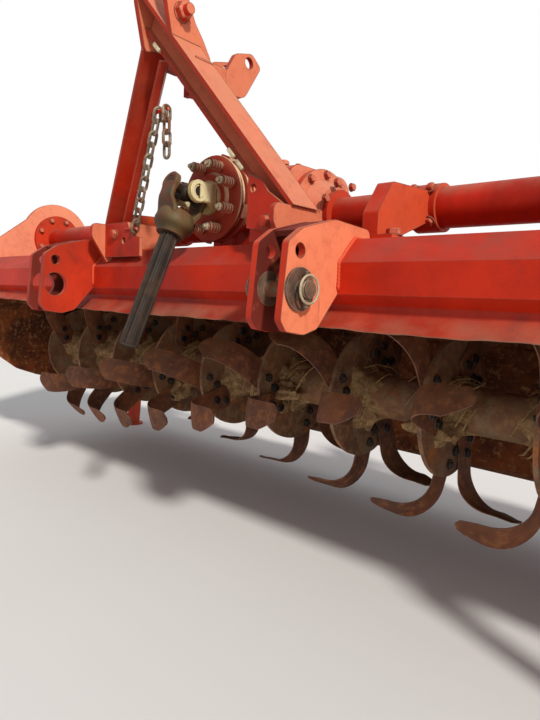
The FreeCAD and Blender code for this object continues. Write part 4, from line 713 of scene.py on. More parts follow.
@dataclass(frozen=True)
class Paint(Finish):
    """Old sprayed paint: faded and painted lighter on the sun's side as painted sunlight, stained,
    chipped to rust and dusty, with painted shade between the bracket plates where asked.
    """

    base: str = "CC2E0E"
    deep: str = "9E200E"
    # faded_and_sunlit: faded tone that also serves as painted sunlight on the side that faces the
    # key light
    faded_and_sunlit: str = "DE6038"
    stain: str = "6E2A26"
    rust: str = "56352C"
    dust: str = "A8876C"
    # bleach_and_sunlight: share of that painted sunlight and fading
    bleach_and_sunlight: float = 0.6
    stains: float = 0.4
    chips: float = 0.18
    worn: float = 0.15
    dusty: float = 0.35
    gloss: float = 0.5
    inside_top: float = 0.0  # height in metres below which the rotor's side is crusted
    shade_gap: float = 0.0  # half width of the painted shade between the bracket plates, in metres
    rust_light: str = "8A5A44"
    crust: tuple[str, str, str] = ("4E2818", "8E4A26", "A8784A")  # on the rotor's side
    # two dark reds painted as shade on the faces between the bracket plates
    gap_shade: tuple[str, str] = ("5A2018", "7A2A1C")
    specular: float = 0.2

    def build(self, kit: EffectKit) -> Material:
        """Layer the colours from the paint up, and wear them.

        Args:
            kit: shader groups.

        Returns:
            The material.
        """
        material, g, shader = self.open()
        where = g.place()
        cloud = g.ramp(g.noise(where, 3.2, 6.0, 0.62, 0.5), 0.32, 0.68)
        colour = g.mix(cloud, linear(self.base), linear(self.deep))
        # painted sunlight: faces towards the sun's side are mixed towards the lighter faded tone
        sun = g.math("MULTIPLY", kit.use(g, Effect.SUNWARD, low=0.3, high=0.9), self.bleach_and_sunlight)
        colour = g.mix(sun, colour, linear(self.faded_and_sunlit))
        mottle = g.noise(where, 38.0, 5.0, 0.7)
        colour = g.mix(g.math("MULTIPLY", g.ramp(mottle, 0.45, 0.75), 0.28), colour,
                       linear(self.deep))
        stain = g.math("MULTIPLY", kit.use(g, Effect.SPOTS, scale=5.0, amount=self.stains,
                                           soft=0.16), 0.55)
        colour = g.mix(stain, colour, linear(self.stain))
        runs = g.math("MULTIPLY", kit.use(g, Effect.RUNS, scale=30.0, amount=self.stains), 0.6)
        colour = g.mix(runs, colour, linear(self.stain))
        chips = kit.use(g, Effect.SPOTS, scale=24.0, amount=self.chips, soft=0.03)
        edges = kit.use(g, Effect.EDGES, radius=0.004, scale=45.0, amount=self.worn)
        bare = g.math("MAXIMUM", chips, edges)
        patina = g.mix(g.noise(where, 60.0, 4.0, 0.7), linear(self.rust),
                       linear(self.rust_light))
        colour = g.mix(bare, colour, patina)
        dust = kit.use(g, Effect.SETTLED, scale=11.0, amount=self.dusty)
        colour = g.mix(dust, colour, linear(self.dust))
        if self.inside_top:
            crust = g.mix(g.ramp(g.noise(where, 9.0, 6.0, 0.66, 0.5), 0.36, 0.64),
                          linear(self.crust[0]), linear(self.crust[1]))
            crust = g.mix(g.ramp(g.noise(where, 55.0, 5.0, 0.72), 0.5, 0.7), crust,
                          linear(self.crust[2]))
            side = kit.use(g, Effect.INNER, soft=0.02, top=self.inside_top)
            colour = g.mix(side, colour, crust)
            bare = g.math("MAXIMUM", bare, side)
        # painted shade: faces between the two plates of either bracket are darkened, broken by
        # noise
        if self.shade_gap:
            gap_shade = g.math("MULTIPLY", self.between(g, where),
                           g.ramp(g.noise(where, 16.0, 5.0, 0.6), 0.22, 0.46))
            colour = g.mix(gap_shade, colour,
                           g.mix(cloud, linear(self.gap_shade[0]), linear(self.gap_shade[1])))
            bare = g.math("MAXIMUM", bare, gap_shade)
        g.feed(shader.inputs["Base Color"], colour)
        rough = g.math("ADD", g.math("MULTIPLY", g.noise(where, 20.0, 4.0, 0.6), 0.22),
                       self.gloss - 0.1)
        rough = g.math("ADD", rough, g.math("MULTIPLY", g.math("MAXIMUM", bare, dust), 0.28),
                       True)
        g.feed(shader.inputs["Roughness"], rough)
        shader.inputs["Specular IOR Level"].default_value = self.specular
        height = kit.use(g, Effect.GRAIN, scale=120.0, dents=0.7, pits=0.25)
        height = g.math("SUBTRACT", height, g.math("MULTIPLY", bare, 0.16))
        self.relief(g, shader, height, 0.5, 0.004)
        return material

    def between(self, g: Graph, where: Socket) -> Socket:
        """Mask of the gap between the two plates of either hitch bracket, where shade is painted:
        ||x| - x0| < gap.

        Args:
            g: graph of the material.
            where: coordinates.

        Returns:
            The mask.
        """
        split = g.node("ShaderNodeSeparateXYZ")
        g.feed(split.inputs[0], where)
        across = g.math("ABSOLUTE", g.math("SUBTRACT", split.outputs["X"], DATUM.x))
        off = g.math("ABSOLUTE", g.math("SUBTRACT", across, BRACKET_X * MM))
        return g.math("LESS_THAN", off, self.shade_gap)


@dataclass(frozen=True)
class Rust(Finish):
    """Steel that soil has scoured and weather has rusted again, with soil left on it."""

    dark: str = "3E2824"
    middle: str = "5E3A30"
    light: str = "8A5A42"
    orange: str = "A2552E"
    soil: str = "8E7458"
    orange_share: float = 0.35
    soiled: float = 0.4
    polish: float = 0.2
    rough: float = 0.72
    pits: float = 0.8
    scoured: str = "9A8274"

    def build(self, kit: EffectKit) -> Material:
        """Mix four rust tones by noises of three sizes, then lay soil over them.

        Args:
            kit: shader groups.

        Returns:
            The material.
        """
        material, g, shader = self.open()
        where = g.place()
        broad = g.ramp(g.noise(where, 7.0, 6.0, 0.65, 0.6), 0.34, 0.66)
        colour = g.mix(broad, linear(self.dark), linear(self.middle))
        flakes = g.ramp(g.noise(where, 42.0, 6.0, 0.72), 0.46, 0.66)
        colour = g.mix(g.math("MULTIPLY", flakes, 0.7), colour, linear(self.light))
        bloom = kit.use(g, Effect.SPOTS, scale=12.0, amount=self.orange_share, soft=0.14)
        colour = g.mix(bloom, colour, linear(self.orange))
        worn = g.math("MULTIPLY", kit.use(g, Effect.EDGES, radius=0.003, scale=30.0,
                                          amount=self.polish), 0.55)
        colour = g.mix(worn, colour, linear(self.scoured))
        soil = g.math("MAXIMUM", kit.use(g, Effect.SETTLED, scale=14.0, amount=self.soiled),
                      g.math("MULTIPLY", kit.use(g, Effect.SPOTS, scale=16.0,
                                                 amount=self.soiled * 0.7, soft=0.12), 0.8))
        colour = g.mix(soil, colour, linear(self.soil))
        g.feed(shader.inputs["Base Color"], colour)
        rough = g.math("SUBTRACT", g.math("ADD", g.math("MULTIPLY", flakes, 0.15), self.rough),
                       g.math("MULTIPLY", worn, 0.3), True)
        g.feed(shader.inputs["Roughness"], rough)
        g.feed(shader.inputs["Metallic"], g.math("MULTIPLY", worn, 0.5))
        height = kit.use(g, Effect.GRAIN, scale=70.0, dents=0.5, pits=self.pits)
        height = g.math("ADD", height, g.math("MULTIPLY", soil, 0.2))
        self.relief(g, shader, height, 0.7, 0.004)
        return material


@dataclass(frozen=True)
class Steel(Finish):
    """Bare or plated steel that is dull, greasy or spotted with rust."""

    base: str = "A59C90"
    shade: str = "6E655C"
    rust: str = "7A4A34"
    metal: float = 0.55
    rough: float = 0.42
    rusted: float = 0.35
    greasy: float = 0.0
    # bright: share of the lighter colour on convex edges, rubbed metal and painted edge highlight
    bright: float = 0.45
    grease: str = "1D1916"
    rubbed_and_highlit: str = "C8C0B4"
    specular: float = 0.22

    def build(self, kit: EffectKit) -> Material:
        """Mix plate and shade, then rust spots, and dark grease with a shine.

        Args:
            kit: shader groups.

        Returns:
            The material.
        """
        material, g, shader = self.open()
        where = g.place()
        cloud = g.ramp(g.noise(where, 26.0, 6.0, 0.66), 0.36, 0.68)
        colour = g.mix(cloud, linear(self.base), linear(self.shade))
        spots = kit.use(g, Effect.SPOTS, scale=34.0, amount=self.rusted, soft=0.1)
        colour = g.mix(spots, colour, linear(self.rust))
        grease = g.math("MULTIPLY", g.ramp(g.noise(where, 12.0, 4.0, 0.55), 0.3, 0.6),
                        self.greasy)
        colour = g.mix(grease, colour, linear(self.grease))
        # lighter convex edges: rubbed metal with a painted edge highlight
        edges = kit.use(g, Effect.EDGES, radius=0.0015, scale=80.0, amount=0.4)
        colour = g.mix(g.math("MULTIPLY", edges, self.bright), colour, linear(self.rubbed_and_highlit))
        g.feed(shader.inputs["Base Color"], colour)
        dull = g.math("MAXIMUM", spots, grease)
        g.feed(shader.inputs["Metallic"],
               g.math("MULTIPLY", g.math("SUBTRACT", 1.0, dull, True), self.metal))
        rough = g.math("ADD", g.math("MULTIPLY", cloud, 0.12),
                       g.math("ADD", g.math("MULTIPLY", spots, 0.3), self.rough))
        g.feed(shader.inputs["Roughness"],
               g.math("SUBTRACT", rough, g.math("MULTIPLY", grease, 0.2), True))
        shader.inputs["Specular IOR Level"].default_value = self.specular
        height = kit.use(g, Effect.GRAIN, scale=160.0, dents=0.1, pits=0.5)
        self.relief(g, shader, height, 0.4, 0.002)
        return material


@dataclass(frozen=True)
class Soil(Finish):
    """Dried soil or straw: pale, matt and crumbly."""

    pale: str = "B39A78"
    dark: str = "6B553F"
    damp: str = "58402A"
    scale: float = 60.0

    def build(self, kit: EffectKit) -> Material:
        """Mix two earth tones by a crumbly noise.

        Args:
            kit: shader groups.

        Returns:
            The material.
        """
        material, g, shader = self.open()
        where = g.place()
        crumbs = g.ramp(g.noise(where, self.scale, 7.0, 0.72), 0.34, 0.68)
        colour = g.mix(crumbs, linear(self.dark), linear(self.pale))
        damp = kit.use(g, Effect.SPOTS, scale=18.0, amount=0.5, soft=0.2)
        colour = g.mix(g.math("MULTIPLY", damp, 0.5), colour, linear(self.damp))
        g.feed(shader.inputs["Base Color"], colour)
        g.feed(shader.inputs["Roughness"], g.math("ADD", g.math("MULTIPLY", crumbs, 0.1), 0.85))
        height = kit.use(g, Effect.GRAIN, scale=self.scale * 1.5, dents=0.4, pits=1.0)
        self.relief(g, shader, height, 0.9, 0.006)
        return material


class Skin(Enum):
    """Finishes that the pieces name."""

    # Each paint's bleach and faded tone give painted sunlight on its sun's side as well as fading;
    # pale parts such as the mast, gearbox, clutch, springs and side plates get the most.
    RED = Paint("faded_red_paint")
    SHELL = Paint("hood_paint", inside_top=9.0, dusty=0.5)
    PLATE = Paint("side_plate_paint", faded_and_sunlit="EC9270", inside_top=0.66, bleach_and_sunlight=1.0, dusty=0.3)
    # SHADED is a darker copy of the bracket paint with little sunlight: painted shade on the left
    # bracket.
    SHADED = Paint("shaded_bracket_paint", base="C42C12", deep="96200F", faded_and_sunlit="CE4A2C",
                   bleach_and_sunlight=0.3, stains=0.45, chips=0.24, worn=0.25, shade_gap=0.0267)
    # The beam's dust tone is a dull purple-red: on its upward bevel it is painted shade rather than
    # dust.
    BEAM = Paint("beam_paint", base="C82C0E", deep="9C1E0E", faded_and_sunlit="D24C28", dust="97493E",
                 bleach_and_sunlight=0.3, stains=0.42, chips=0.2, worn=0.2, dusty=0.75)
    # The lip's paint is a darker, purpler copy of the red: painted shade on the sheet under the
    # beam.
    LIP = Paint("lip_paint", base="B4301C", deep="8A2418", faded_and_sunlit="C24A34", stain="5A2626",
                bleach_and_sunlight=0.3, stains=0.5, chips=0.24, worn=0.2)
    MAST = Paint("mast_paint", base="C62C10", deep="962010", faded_and_sunlit="E08460", bleach_and_sunlight=0.85,
                 stains=0.5, chips=0.26, worn=0.25)
    HOUSING = Paint("gearbox_paint", base="C42C10", deep="96200E", faded_and_sunlit="E88E6C",
                    bleach_and_sunlight=0.85, stains=0.35, chips=0.16)
    TUBE = Paint("tube_paint", base="CA260A", deep="9A1A08", faded_and_sunlit="D84C28", bleach_and_sunlight=0.5,
                 stains=0.55, chips=0.26)
    # PALE is a lighter copy of the bracket paint: painted sunlight on the right bracket and the
    # webs.
    PALE = Paint("hitch_paint_lit_copy", base="CA3214", deep="9C2412", faded_and_sunlit="EA8660", bleach_and_sunlight=0.95,
                 stains=0.36, chips=0.2, shade_gap=0.0267)
    CLUTCH = Paint("clutch_paint", base="A83A22", deep="86281A", faded_and_sunlit="E8C49C", bleach_and_sunlight=1.0,
                   stains=0.4, chips=0.22, worn=0.6)
    WIRE = Paint("sprayed_springs", base="CC7658", deep="A44A34", faded_and_sunlit="ECC8A4", bleach_and_sunlight=0.9,
                 stains=0.4, chips=0.25, worn=0.5)
    OLIVE = Paint("yoke_overspray", base="453920", deep="30221A", faded_and_sunlit="846F48", stain="702A20",
                  bleach_and_sunlight=0.4, stains=0.62, chips=0.34, worn=0.6, dusty=0.2)
    OCHRE = Paint("yoke_ochre", base="C8B474", deep="977C4C", faded_and_sunlit="EADFB0", stain="8A4A36",
                  bleach_and_sunlight=0.8, stains=0.42, chips=0.25, worn=0.4)
    BLADE = Rust("blade_rust", dark="54301F", middle="7C4628", light="A0663E",
                 orange="B0602A", soil="96754C", orange_share=0.42, soiled=0.4, polish=0.4)
    ROTOR = Rust("rotor_rust", dark="6A4630", middle="8A6040", light="AC8258", orange="B4682E",
                 orange_share=0.5, soiled=0.85)
    HINGE = Rust("hinge_rust", dark="5A3020", middle="7E4A2E", light="A06C44", orange="AC622E",
                 orange_share=0.45, soiled=0.6)
    PLATED = Steel("dull_zinc", base="CDBE9E", shade="9C8C70", rusted=0.3)
    CHAIN = Steel("old_chain", base="9C8C76", shade="5E4E40", rusted=0.55, metal=0.25, rough=0.5)
    PIN = Steel("rusty_pin", base="7E6452", shade="4E3C32", rusted=0.6, metal=0.2, rough=0.55)
    NUT = Steel("black_nuts", base="3A2C24", shade="1E1612", rusted=0.3, metal=0.1, rough=0.6)
    GREASE = Steel("greasy_shaft", base="4A3526", shade="2C2019", rust="6A3E26", rusted=0.4,
                   metal=0.05, rough=0.62, greasy=0.7, bright=0.06)
    SPRING = Steel("spring_wire", base="6E6258", shade="4A3E36", rusted=0.6, metal=0.3)
    BOLT = Paint("painted_bolt", base="BE3A20", faded_and_sunlit="D9886C", bleach_and_sunlight=0.7, stains=0.5,
                 chips=0.35, worn=0.6)
    MUD = Soil("dried_soil", pale="C4A070", dark="7A5836")
    STRAW = Soil("straw", pale="D0B07A", dark="94703E", scale=140.0)


@dataclass
class Dressing:
    """Base of the sub-assemblies: turns bags into pieces of the scene.

    Attributes:
        kit: materials by their skin.
    """

    kit: dict[Skin, Material]

    def piece(self, name: str, bag: Bag, body: str, skin: Skin, slot: str,
              stands_for: Sequence[str] = (), sharp: float = 38.0) -> None:
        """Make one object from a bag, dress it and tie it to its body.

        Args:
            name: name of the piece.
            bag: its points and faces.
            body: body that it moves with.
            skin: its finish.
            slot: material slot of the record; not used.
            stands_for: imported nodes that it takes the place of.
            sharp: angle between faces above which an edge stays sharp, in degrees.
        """
        mesh = bag.mesh(name)
        mesh.polygons.foreach_set("use_smooth", np.ones(len(mesh.polygons), bool))
        mesh.set_sharp_from_angle(angle=math.radians(sharp))
        mesh.materials.append(self.kit[skin])
        made = bpy.data.objects.new(name, mesh)
        bpy.context.scene.collection.objects.link(made)
        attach(made, body)
        if stands_for:
            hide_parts(*stands_for)
        LOG.info("piece %s: %d faces", name, len(mesh.polygons))


def hex_bolt(flats: float, height: float, washer: float = 0.0) -> Shape:
    """Hexagon head with a chamfered crown on a washer, its underside at Z = 0.

    Args:
        flats: size across the flats, in millimetres.
        height: height of the head.
        washer: radius of the washer, or 0 for a bare head.

    Returns:
        The head, in metres.
    """
    half = flats / 2
    rim = washer or half * 1.05
    step = 2.2 if washer else 0.6
    profile = [(0, rim * 0.98), (step * 0.3, rim), (step, rim), (step, half),
               (step + height * 0.82, half), (step + height, half * 0.86)]
    return turned_shape(profile, 24, six=(3, 4))


def ring_of(centre: Sequence[float], axis: Axis, radius: float, count: int,
            start: float = 0.0) -> Array:
    """Points spread evenly on a circle across an axis, in drawing millimetres.

    Args:
        centre: middle of the circle.
        axis: direction that the circle lies across.
        radius: its radius.
        count: number of points.
        start: angle of the first point, in degrees.

    Returns:
        The points, count by 3.
    """
    turn = frame_of(axis.value)
    angle = np.radians(start) + steps_round(count)
    flat = np.stack([np.cos(angle), np.sin(angle), np.zeros(count)], axis=1) * radius
    return np.asarray(centre, float) + flat @ turn.T


def place_all(bag: Bag, shape: Shape, points: Array, axis: Sequence[float]) -> None:
    """Put a shape at every drawing point with its Z along one axis."""
    turns = np.repeat(frame_of(axis)[None], len(points), axis=0)
    bag.repeat(shape, DATUM.at(points), turns)


def coil(turns: float, radius: float, length: float, wire: float) -> Shape:
    """Compression spring up Z: a helix whose end turns lie flat against its ends.

    The height stays level for 0.8 of a turn at each end and rises evenly between them.

    Args:
        turns: number of turns.
        radius: radius of the wire's middle line.
        length: length over all.
        wire: radius of the wire.

    Returns:
        The spring, in metres.
    """
    share = np.linspace(0.0, 1.0, int(turns * 20) + 1)
    angle = 2 * np.pi * turns * share
    flat = 1.0 / turns
    rise = np.clip((share - flat * 0.8) / (1 - flat * 1.6), 0.0, 1.0)
    height = wire + (length - 2 * wire) * rise
    path = np.stack([radius * np.cos(angle), radius * np.sin(angle), height], axis=1)
    return bar_shape(path, wire, 8, (0, 0, 1))


def bead(path: Sequence[Sequence[float]], size: float, seed: int) -> Shape:
    """Weld bead along a line of drawing points.

    The line is divided every 2.5 mm; the radius swells with a sine every 7 mm for the ripples
    of the weld, and the middle wanders by up to a fifth of the radius.

    Args:
        path: corners of the line.
        size: radius of the bead.
        seed: start of the random phases.

    Returns:
        The bead, in metres.
    """
    corners = np.asarray(path, float)
    gaps = np.linalg.norm(np.diff(corners, axis=0), axis=1)
    along = np.concatenate([[0.0], np.cumsum(gaps)])
    steps = max(int(along[-1] / 2.5), 4)
    where = np.linspace(0.0, along[-1], steps)
    line = np.stack([np.interp(where, along, corners[:, i]) for i in range(3)], axis=1)
    rng = np.random.default_rng(seed)
    phase = rng.uniform(0, 6.28, 3)
    wander = np.stack([np.sin(where / 17.0 + phase[i]) for i in range(3)], axis=1)
    radius = size * (1 + 0.16 * np.sin(where * 2 * np.pi / 7.0) + 0.1 * np.sin(where / 23.0))
    radius *= np.clip(np.minimum(where, along[-1] - where) / size, 0.25, 1.0)
    return moved(bar_shape(line + wander * size * 0.2, radius, 8, (0.577, 0.5, 0.646)))


def ball_shape(rows: int, cols: int, power: float = 1.0) -> Shape:
    """Ball of radius 1 whose sines and cosines are raised to a power, with closed poles.

    Every point is (s(sin p) s(cos a), s(sin p) s(sin a), s(cos p)), where s keeps the sign of
    its number and raises its size to the power.

    Args:
        rows: rows from pole to pole.
        cols: points round.
        power: the power; the smaller, the squarer.

    Returns:
        The ball.
    """
    p, a = np.meshgrid(np.linspace(0, np.pi, rows)[1:-1], steps_round(cols), indexing="ij")
    sines = np.stack([np.sin(p), np.cos(a), np.sin(a), np.cos(p)])
    low, x, y, z = np.sign(sines) * np.abs(sines) ** power
    ball = np.stack([low * x, low * y, z], -1).reshape(-1, 3)
    i = np.arange(cols)
    nxt = (i + 1) % cols
    last = (rows - 3) * cols
    top = np.stack([np.full(cols, len(ball)), i, nxt], -1)
    under = np.stack([np.full(cols, len(ball) + 1), last + nxt, last + i], -1)
    return Shape(np.concatenate([ball, [[0, 0, 1], [0, 0, -1]]]),
                 grid_quads(rows - 2, cols, True)[:, ::-1], np.concatenate([top, under]))


def lump(size: Sequence[float], seed: int) -> Shape:
    """Irregular clod: a ball whose radius is changed by a sum of waves, then stretched.

    Args:
        size: half sizes, in millimetres.
        seed: start of the random waves.

    Returns:
        The clod, in metres.
    """
    rough = 0.34
    rng = np.random.default_rng(seed)
    shape = ball_shape(14, 20)
    ball = shape.points
    waves = rng.normal(0, 1, (9, 3)) * np.array([2.0, 3.5, 6.0]).repeat(3)[:, None]
    radius = 1 + (np.sin(ball @ waves.T + rng.uniform(0, 6.28, 9))
                  * np.array([1.0, 0.6, 0.35]).repeat(3) * rough / 1.6).sum(axis=1)
    points = ball * radius[:, None] * np.asarray(size, float) * MM
    return Shape(points, shape.quads, shape.tris)


def soft_block(size: Sequence[float], power: float = 0.25) -> Shape:
    """Block with rounded edges: a ball whose sines and cosines are raised to a small power.

    Args:
        size: lengths of its sides, in millimetres.
        power: the power of the ball.

    Returns:
        The block, in metres.
    """
    shape = ball_shape(9, 20, power)
    return Shape(shape.points * np.asarray(size, float) / 2 * MM, shape.quads, shape.tris)


def spin_x(angle: float) -> Array:
    """Matrix that turns about X, in degrees."""
    c, s = math.cos(math.radians(angle)), math.sin(math.radians(angle))
    return np.array([[1, 0, 0], [0, c, -s], [0, s, c]])


@dataclass
class Rotor(Dressing):
    """Tines, their bolts, and the soil and straw that the rotor has picked up."""

    y: float = ROTOR_Y
    z: float = ROTOR_Z
    pitch: float = 241.0
    each_side: int = 5
    flange_half: float = 5.0
    phase: float = 151.0  # angle of the first blade, in degrees
    twist: float = -12.0  # turn from flange to flange
    stagger: float = 33.0  # turn from left hand to right
    root: float = 96.0
    tip: float = 272.0
    lean: float = 30.0  # of the shank, against the radius
    bend: float = 84.0
    reach: float = 150.0  # sideways, from the flange
    width: float = 72.0
    thick: float = 9.0
    sweep: float = 16.0
    tip_width: float = 40.0
    belly: float = 14.0
    rake: float = 19.0
    holes: tuple[tuple[float, float], ...] = ((-4.0, 108.0), (26.0, 132.0))
    tube: float = 54.0
    clods: tuple[tuple[float, float, float], ...] = (
        (-705, 200, 78), (-470, 230, 86), (-30, 210, 92), (-60, 250, 84), (30, 190, 70),
        (470, 215, 74), (-950, 225, 76), (720, 260, 72), (-500, 180, 80), (230, 235, 66))
    straw_x: tuple[int, ...] = (-720, -480, -470, -30, -60, 210, 480, 720)
    straw_radius: float = 64.0
    straws: int = 260

    def tine(self) -> Shape:
        """Curved left-hand blade that stands up from a flange and bends over to -X.

        Rows follow the middle line: a rounded root, a straight shank, a quarter arc of the
        bend radius, and a straight end. Each row is a flat lens across the blade whose edges
        run ahead with the 2.4th power of the height, and one edge runs in to the tip. Round
        the bend the section turns about its middle by the rake, so that the straight edge
        comes nearer to the rotor's axis. Then the whole leans about its root, and half a turn
        about Z gives it its hand.

        Returns:
            The blade, in metres.
        """
        mid = self.thick / 2
        inner = self.bend - mid
        tilt = math.radians(self.lean)
        tip = math.sqrt(self.tip ** 2 - (self.root * math.sin(tilt)) ** 2) \
            - self.root * math.cos(tilt)
        centre_z = tip - self.bend
        half = self.width / 2
        cap = half * 0.55
        start = np.linspace(-cap * 0.98, 0.0, 5)[:-1]
        shank = np.linspace(0.0, centre_z, 6)[:-1]
        phi = np.linspace(0.0, np.pi / 2, 10)
        out = np.linspace(self.bend, self.reach, 6)[1:]
        x = np.concatenate([np.full(9, mid), self.bend - inner * np.cos(phi), out])
        z = np.concatenate([start, shank, centre_z + inner * np.sin(phi),
                            np.full(5, tip - mid)])
        lean = np.concatenate([np.zeros(9), phi, np.full(5, np.pi / 2)])
        high = np.clip(z / tip, 0.0, 1.0) ** 2.4
        shrink = np.sqrt(np.clip(1 - (np.minimum(z, 0) / cap) ** 2, 0.02, 1))
        lead = -half * shrink - self.sweep * high
        first = self.thick + self.bend / 8
        run = np.clip((x - first) / (self.reach - first), 0.0, 1.0)
        last = -half - self.sweep + self.tip_width
        plan = half + (last - half) * run + self.belly * 4 * run * (1 - run)
        trail = np.minimum(half * shrink - self.sweep * high, np.where(run > 0, plan, 1e3))
        end = np.clip((x - self.reach + 16.0) / 16.0, 0.0, 1.0)
        lead = lead + (trail - lead) * 0.5 * (1 - np.sqrt(1 - 0.96 * end ** 2))
        across = np.linspace(-1.0, 1.0, 8)
        y = (lead + trail)[:, None] / 2 + (trail - lead)[:, None] / 2 * across
        reach = mid * (1 - 0.35 * run)[:, None] * (1 - 0.72 * np.abs(across) ** 3)[None]
        raked = math.radians(self.rake) * np.sin(lean) ** 2
        normal = np.stack([-np.cos(lean), -np.sin(lean) * np.sin(raked),
                           np.sin(lean) * np.cos(raked)], axis=1)
        middle = ((lead + trail) / 2)[:, None]
        base = np.stack([np.broadcast_to(x[:, None], y.shape),
                         middle + (y - middle) * np.cos(raked)[:, None],
                         z[:, None] + (y - middle) * np.sin(raked)[:, None]], axis=-1)
        outer = base + normal[:, None] * reach[..., None]
        under = (base - normal[:, None] * reach[..., None])[:, ::-1]
        rings = np.concatenate([outer, under], axis=1) + np.array([self.flange_half, 0, 0])
        rings = rings @ spin_x(self.lean).T + np.array([0, 0, self.root])
        return closed_rings(rings * np.array([-1.0, -1.0, 1.0]) * MM)

    def places(self, hand: int) -> tuple[Array, Array]:
        """Origins and turns of all blades of one hand.

        Args:
            hand: 1 for right, -1 for left.

        Returns:
            The origins and the turns.
        """
        spots, turns = [], []
        for i in range(-self.each_side, self.each_side + 1):
            if abs(i) == self.each_side and (i > 0) == (hand > 0):
                continue
            for k in range(3):
                angle = self.phase + self.twist * (i + self.each_side) + 120.0 * k \
                    + (self.stagger if hand > 0 else 0.0)
                spots.append((self.pitch * i, self.y, self.z))
                turns.append(spin_x(angle))
        return DATUM.at(spots), np.array(turns)

    def mirrored(self, shape: Shape) -> Shape:
        """The same shape for the other hand, with its faces turned round again."""
        return Shape(shape.points * np.array([-1.0, 1.0, 1.0]), shape.quads[:, ::-1],
                     shape.tris[:, ::-1])

    def build(self) -> None:
        """Blades of both hands, their bolts, then soil and straw."""
        blade = self.tine()
        for hand, name in ((1, "right"), (-1, "left")):
            bag = Bag()
            spots, turns = self.places(hand)
            bag.repeat(blade if hand < 0 else self.mirrored(blade), spots, turns)
            self.piece(f"blades_{name}_hand", bag, "rotor", Skin.BLADE, "rusty_blade",
                       (f"tines_{name}_hand",), 30.0)
        self.bolts()
        self.soil()
        self.straw()

    def bolts(self) -> None:
        """Two bolts through every blade and flange: heads on the blade, nuts behind."""
        bag = Bag()
        head = turned_shape([(0, 12.5), (1.5, 12.5), (1.5, 10.5), (8.5, 10.5), (10, 8.5)], 12,
                            six=(2, 3))
        nut = turned_shape([(0, 10.5), (8, 10.5), (8, 6), (13, 5.6)], 12, six=(0, 1))
        for hand in (1, -1):
            spots, turns = self.places(hand)
            for y, z in self.holes:
                for shape, x, way in ((head, hand * (self.flange_half + self.thick), hand),
                                      (nut, -hand * self.flange_half, -hand)):
                    local = np.array([x, y, z]) * MM
                    flat = frame_of((way, 0, 0))
                    bag.repeat(shape, spots + turns @ local, turns @ flat)
        self.piece("blade_bolts", bag, "rotor", Skin.NUT, "rusty_blade")

    def soil(self) -> None:
        """Rings of caked soil on the tube, beside every flange, and loose clods."""
        bag = Bag()
        sides = 40
        angle = steps_round(sides)
        for i in range(-self.each_side, self.each_side + 1):
            for way in (-1, 1):
                if abs(i) == self.each_side and way * i > 0:
                    continue
                x = self.pitch * i + way * self.flange_half
                rng = np.random.default_rng(50 + 2 * i + way)
                along = np.array([0.0, 3.0, 10.0, 22.0, 40.0, 62.0])
                high = np.array([32.0, 30.0, 20.0, 10.0, 4.5, -1.0])
                wave = 1 + 0.28 * np.sin(3 * angle + rng.uniform(0, 6)) \
                    + 0.22 * np.sin(7 * angle + rng.uniform(0, 6)) \
                    + 0.12 * np.sin(13 * angle + rng.uniform(0, 6))
                radius = self.tube + high[:, None] * wave[None] * rng.uniform(0.7, 1.15)
                spread = along[:, None] * (1 + 0.2 * np.cos(5 * angle + rng.uniform(0, 6)))[None]
                ring = np.stack([x + way * spread, self.y + radius * np.cos(angle)[None],
                                 self.z + radius * np.sin(angle)[None]], axis=-1)
                quads = grid_quads(len(along), sides, True)
                bag.add(DATUM.at(ring.reshape(-1, 3)), quads[:, ::-1] if way > 0 else quads)
        self.piece("caked_soil", bag, "rotor", Skin.MUD, "rusty_rotor")
        clods = Bag()
        rng = np.random.default_rng(7)
        for seed, (x, degrees, out) in enumerate(self.clods, 20):
            a = math.radians(degrees)
            size = rng.uniform(0.7, 1.2) * np.array([46.0, 26.0, 34.0])
            clods.put(lump(size, seed),
                      DATUM.at([x, self.y + out * math.cos(a), self.z + out * math.sin(a)]),
                      (0, math.cos(a), math.sin(a)))
        self.piece("clods", clods, "rotor", Skin.MUD, "rusty_rotor")

    def straw(self) -> None:
        """Straws that are wound on the tube: short bent stalks that lie about it."""
        bag = Bag()
        rng = np.random.default_rng(11)
        t = np.linspace(0, 1, 6)
        kinds = 4
        count = self.straws // kinds
        for kind in range(kinds):
            arc = (t - 0.5) * (0.9 + 0.5 * kind)
            path = np.stack([(t - 0.5) * (30 + 18 * kind), self.straw_radius * np.sin(arc),
                             self.straw_radius * np.cos(arc)], 1)
            stalk = bar_shape(path, np.array([0.9, 1.5, 1.7, 1.6, 1.3, 0.8]), 4, (0.3, 0.5, 1.0))
            x = rng.choice(np.array(self.straw_x), count) + rng.normal(0, 30, count)
            spots = DATUM.at(np.stack([x, np.full(len(x), self.y), np.full(len(x), self.z)], 1))
            turns = np.array([spin_x(float(v)) for v in rng.uniform(0, 360, len(x))])
            grow = rng.uniform(0.92, 1.35, len(x))[:, None, None]
            bag.repeat(stalk, spots, turns * grow)
        self.piece("wound_straw", bag, "rotor", Skin.STRAW, "rusty_rotor")


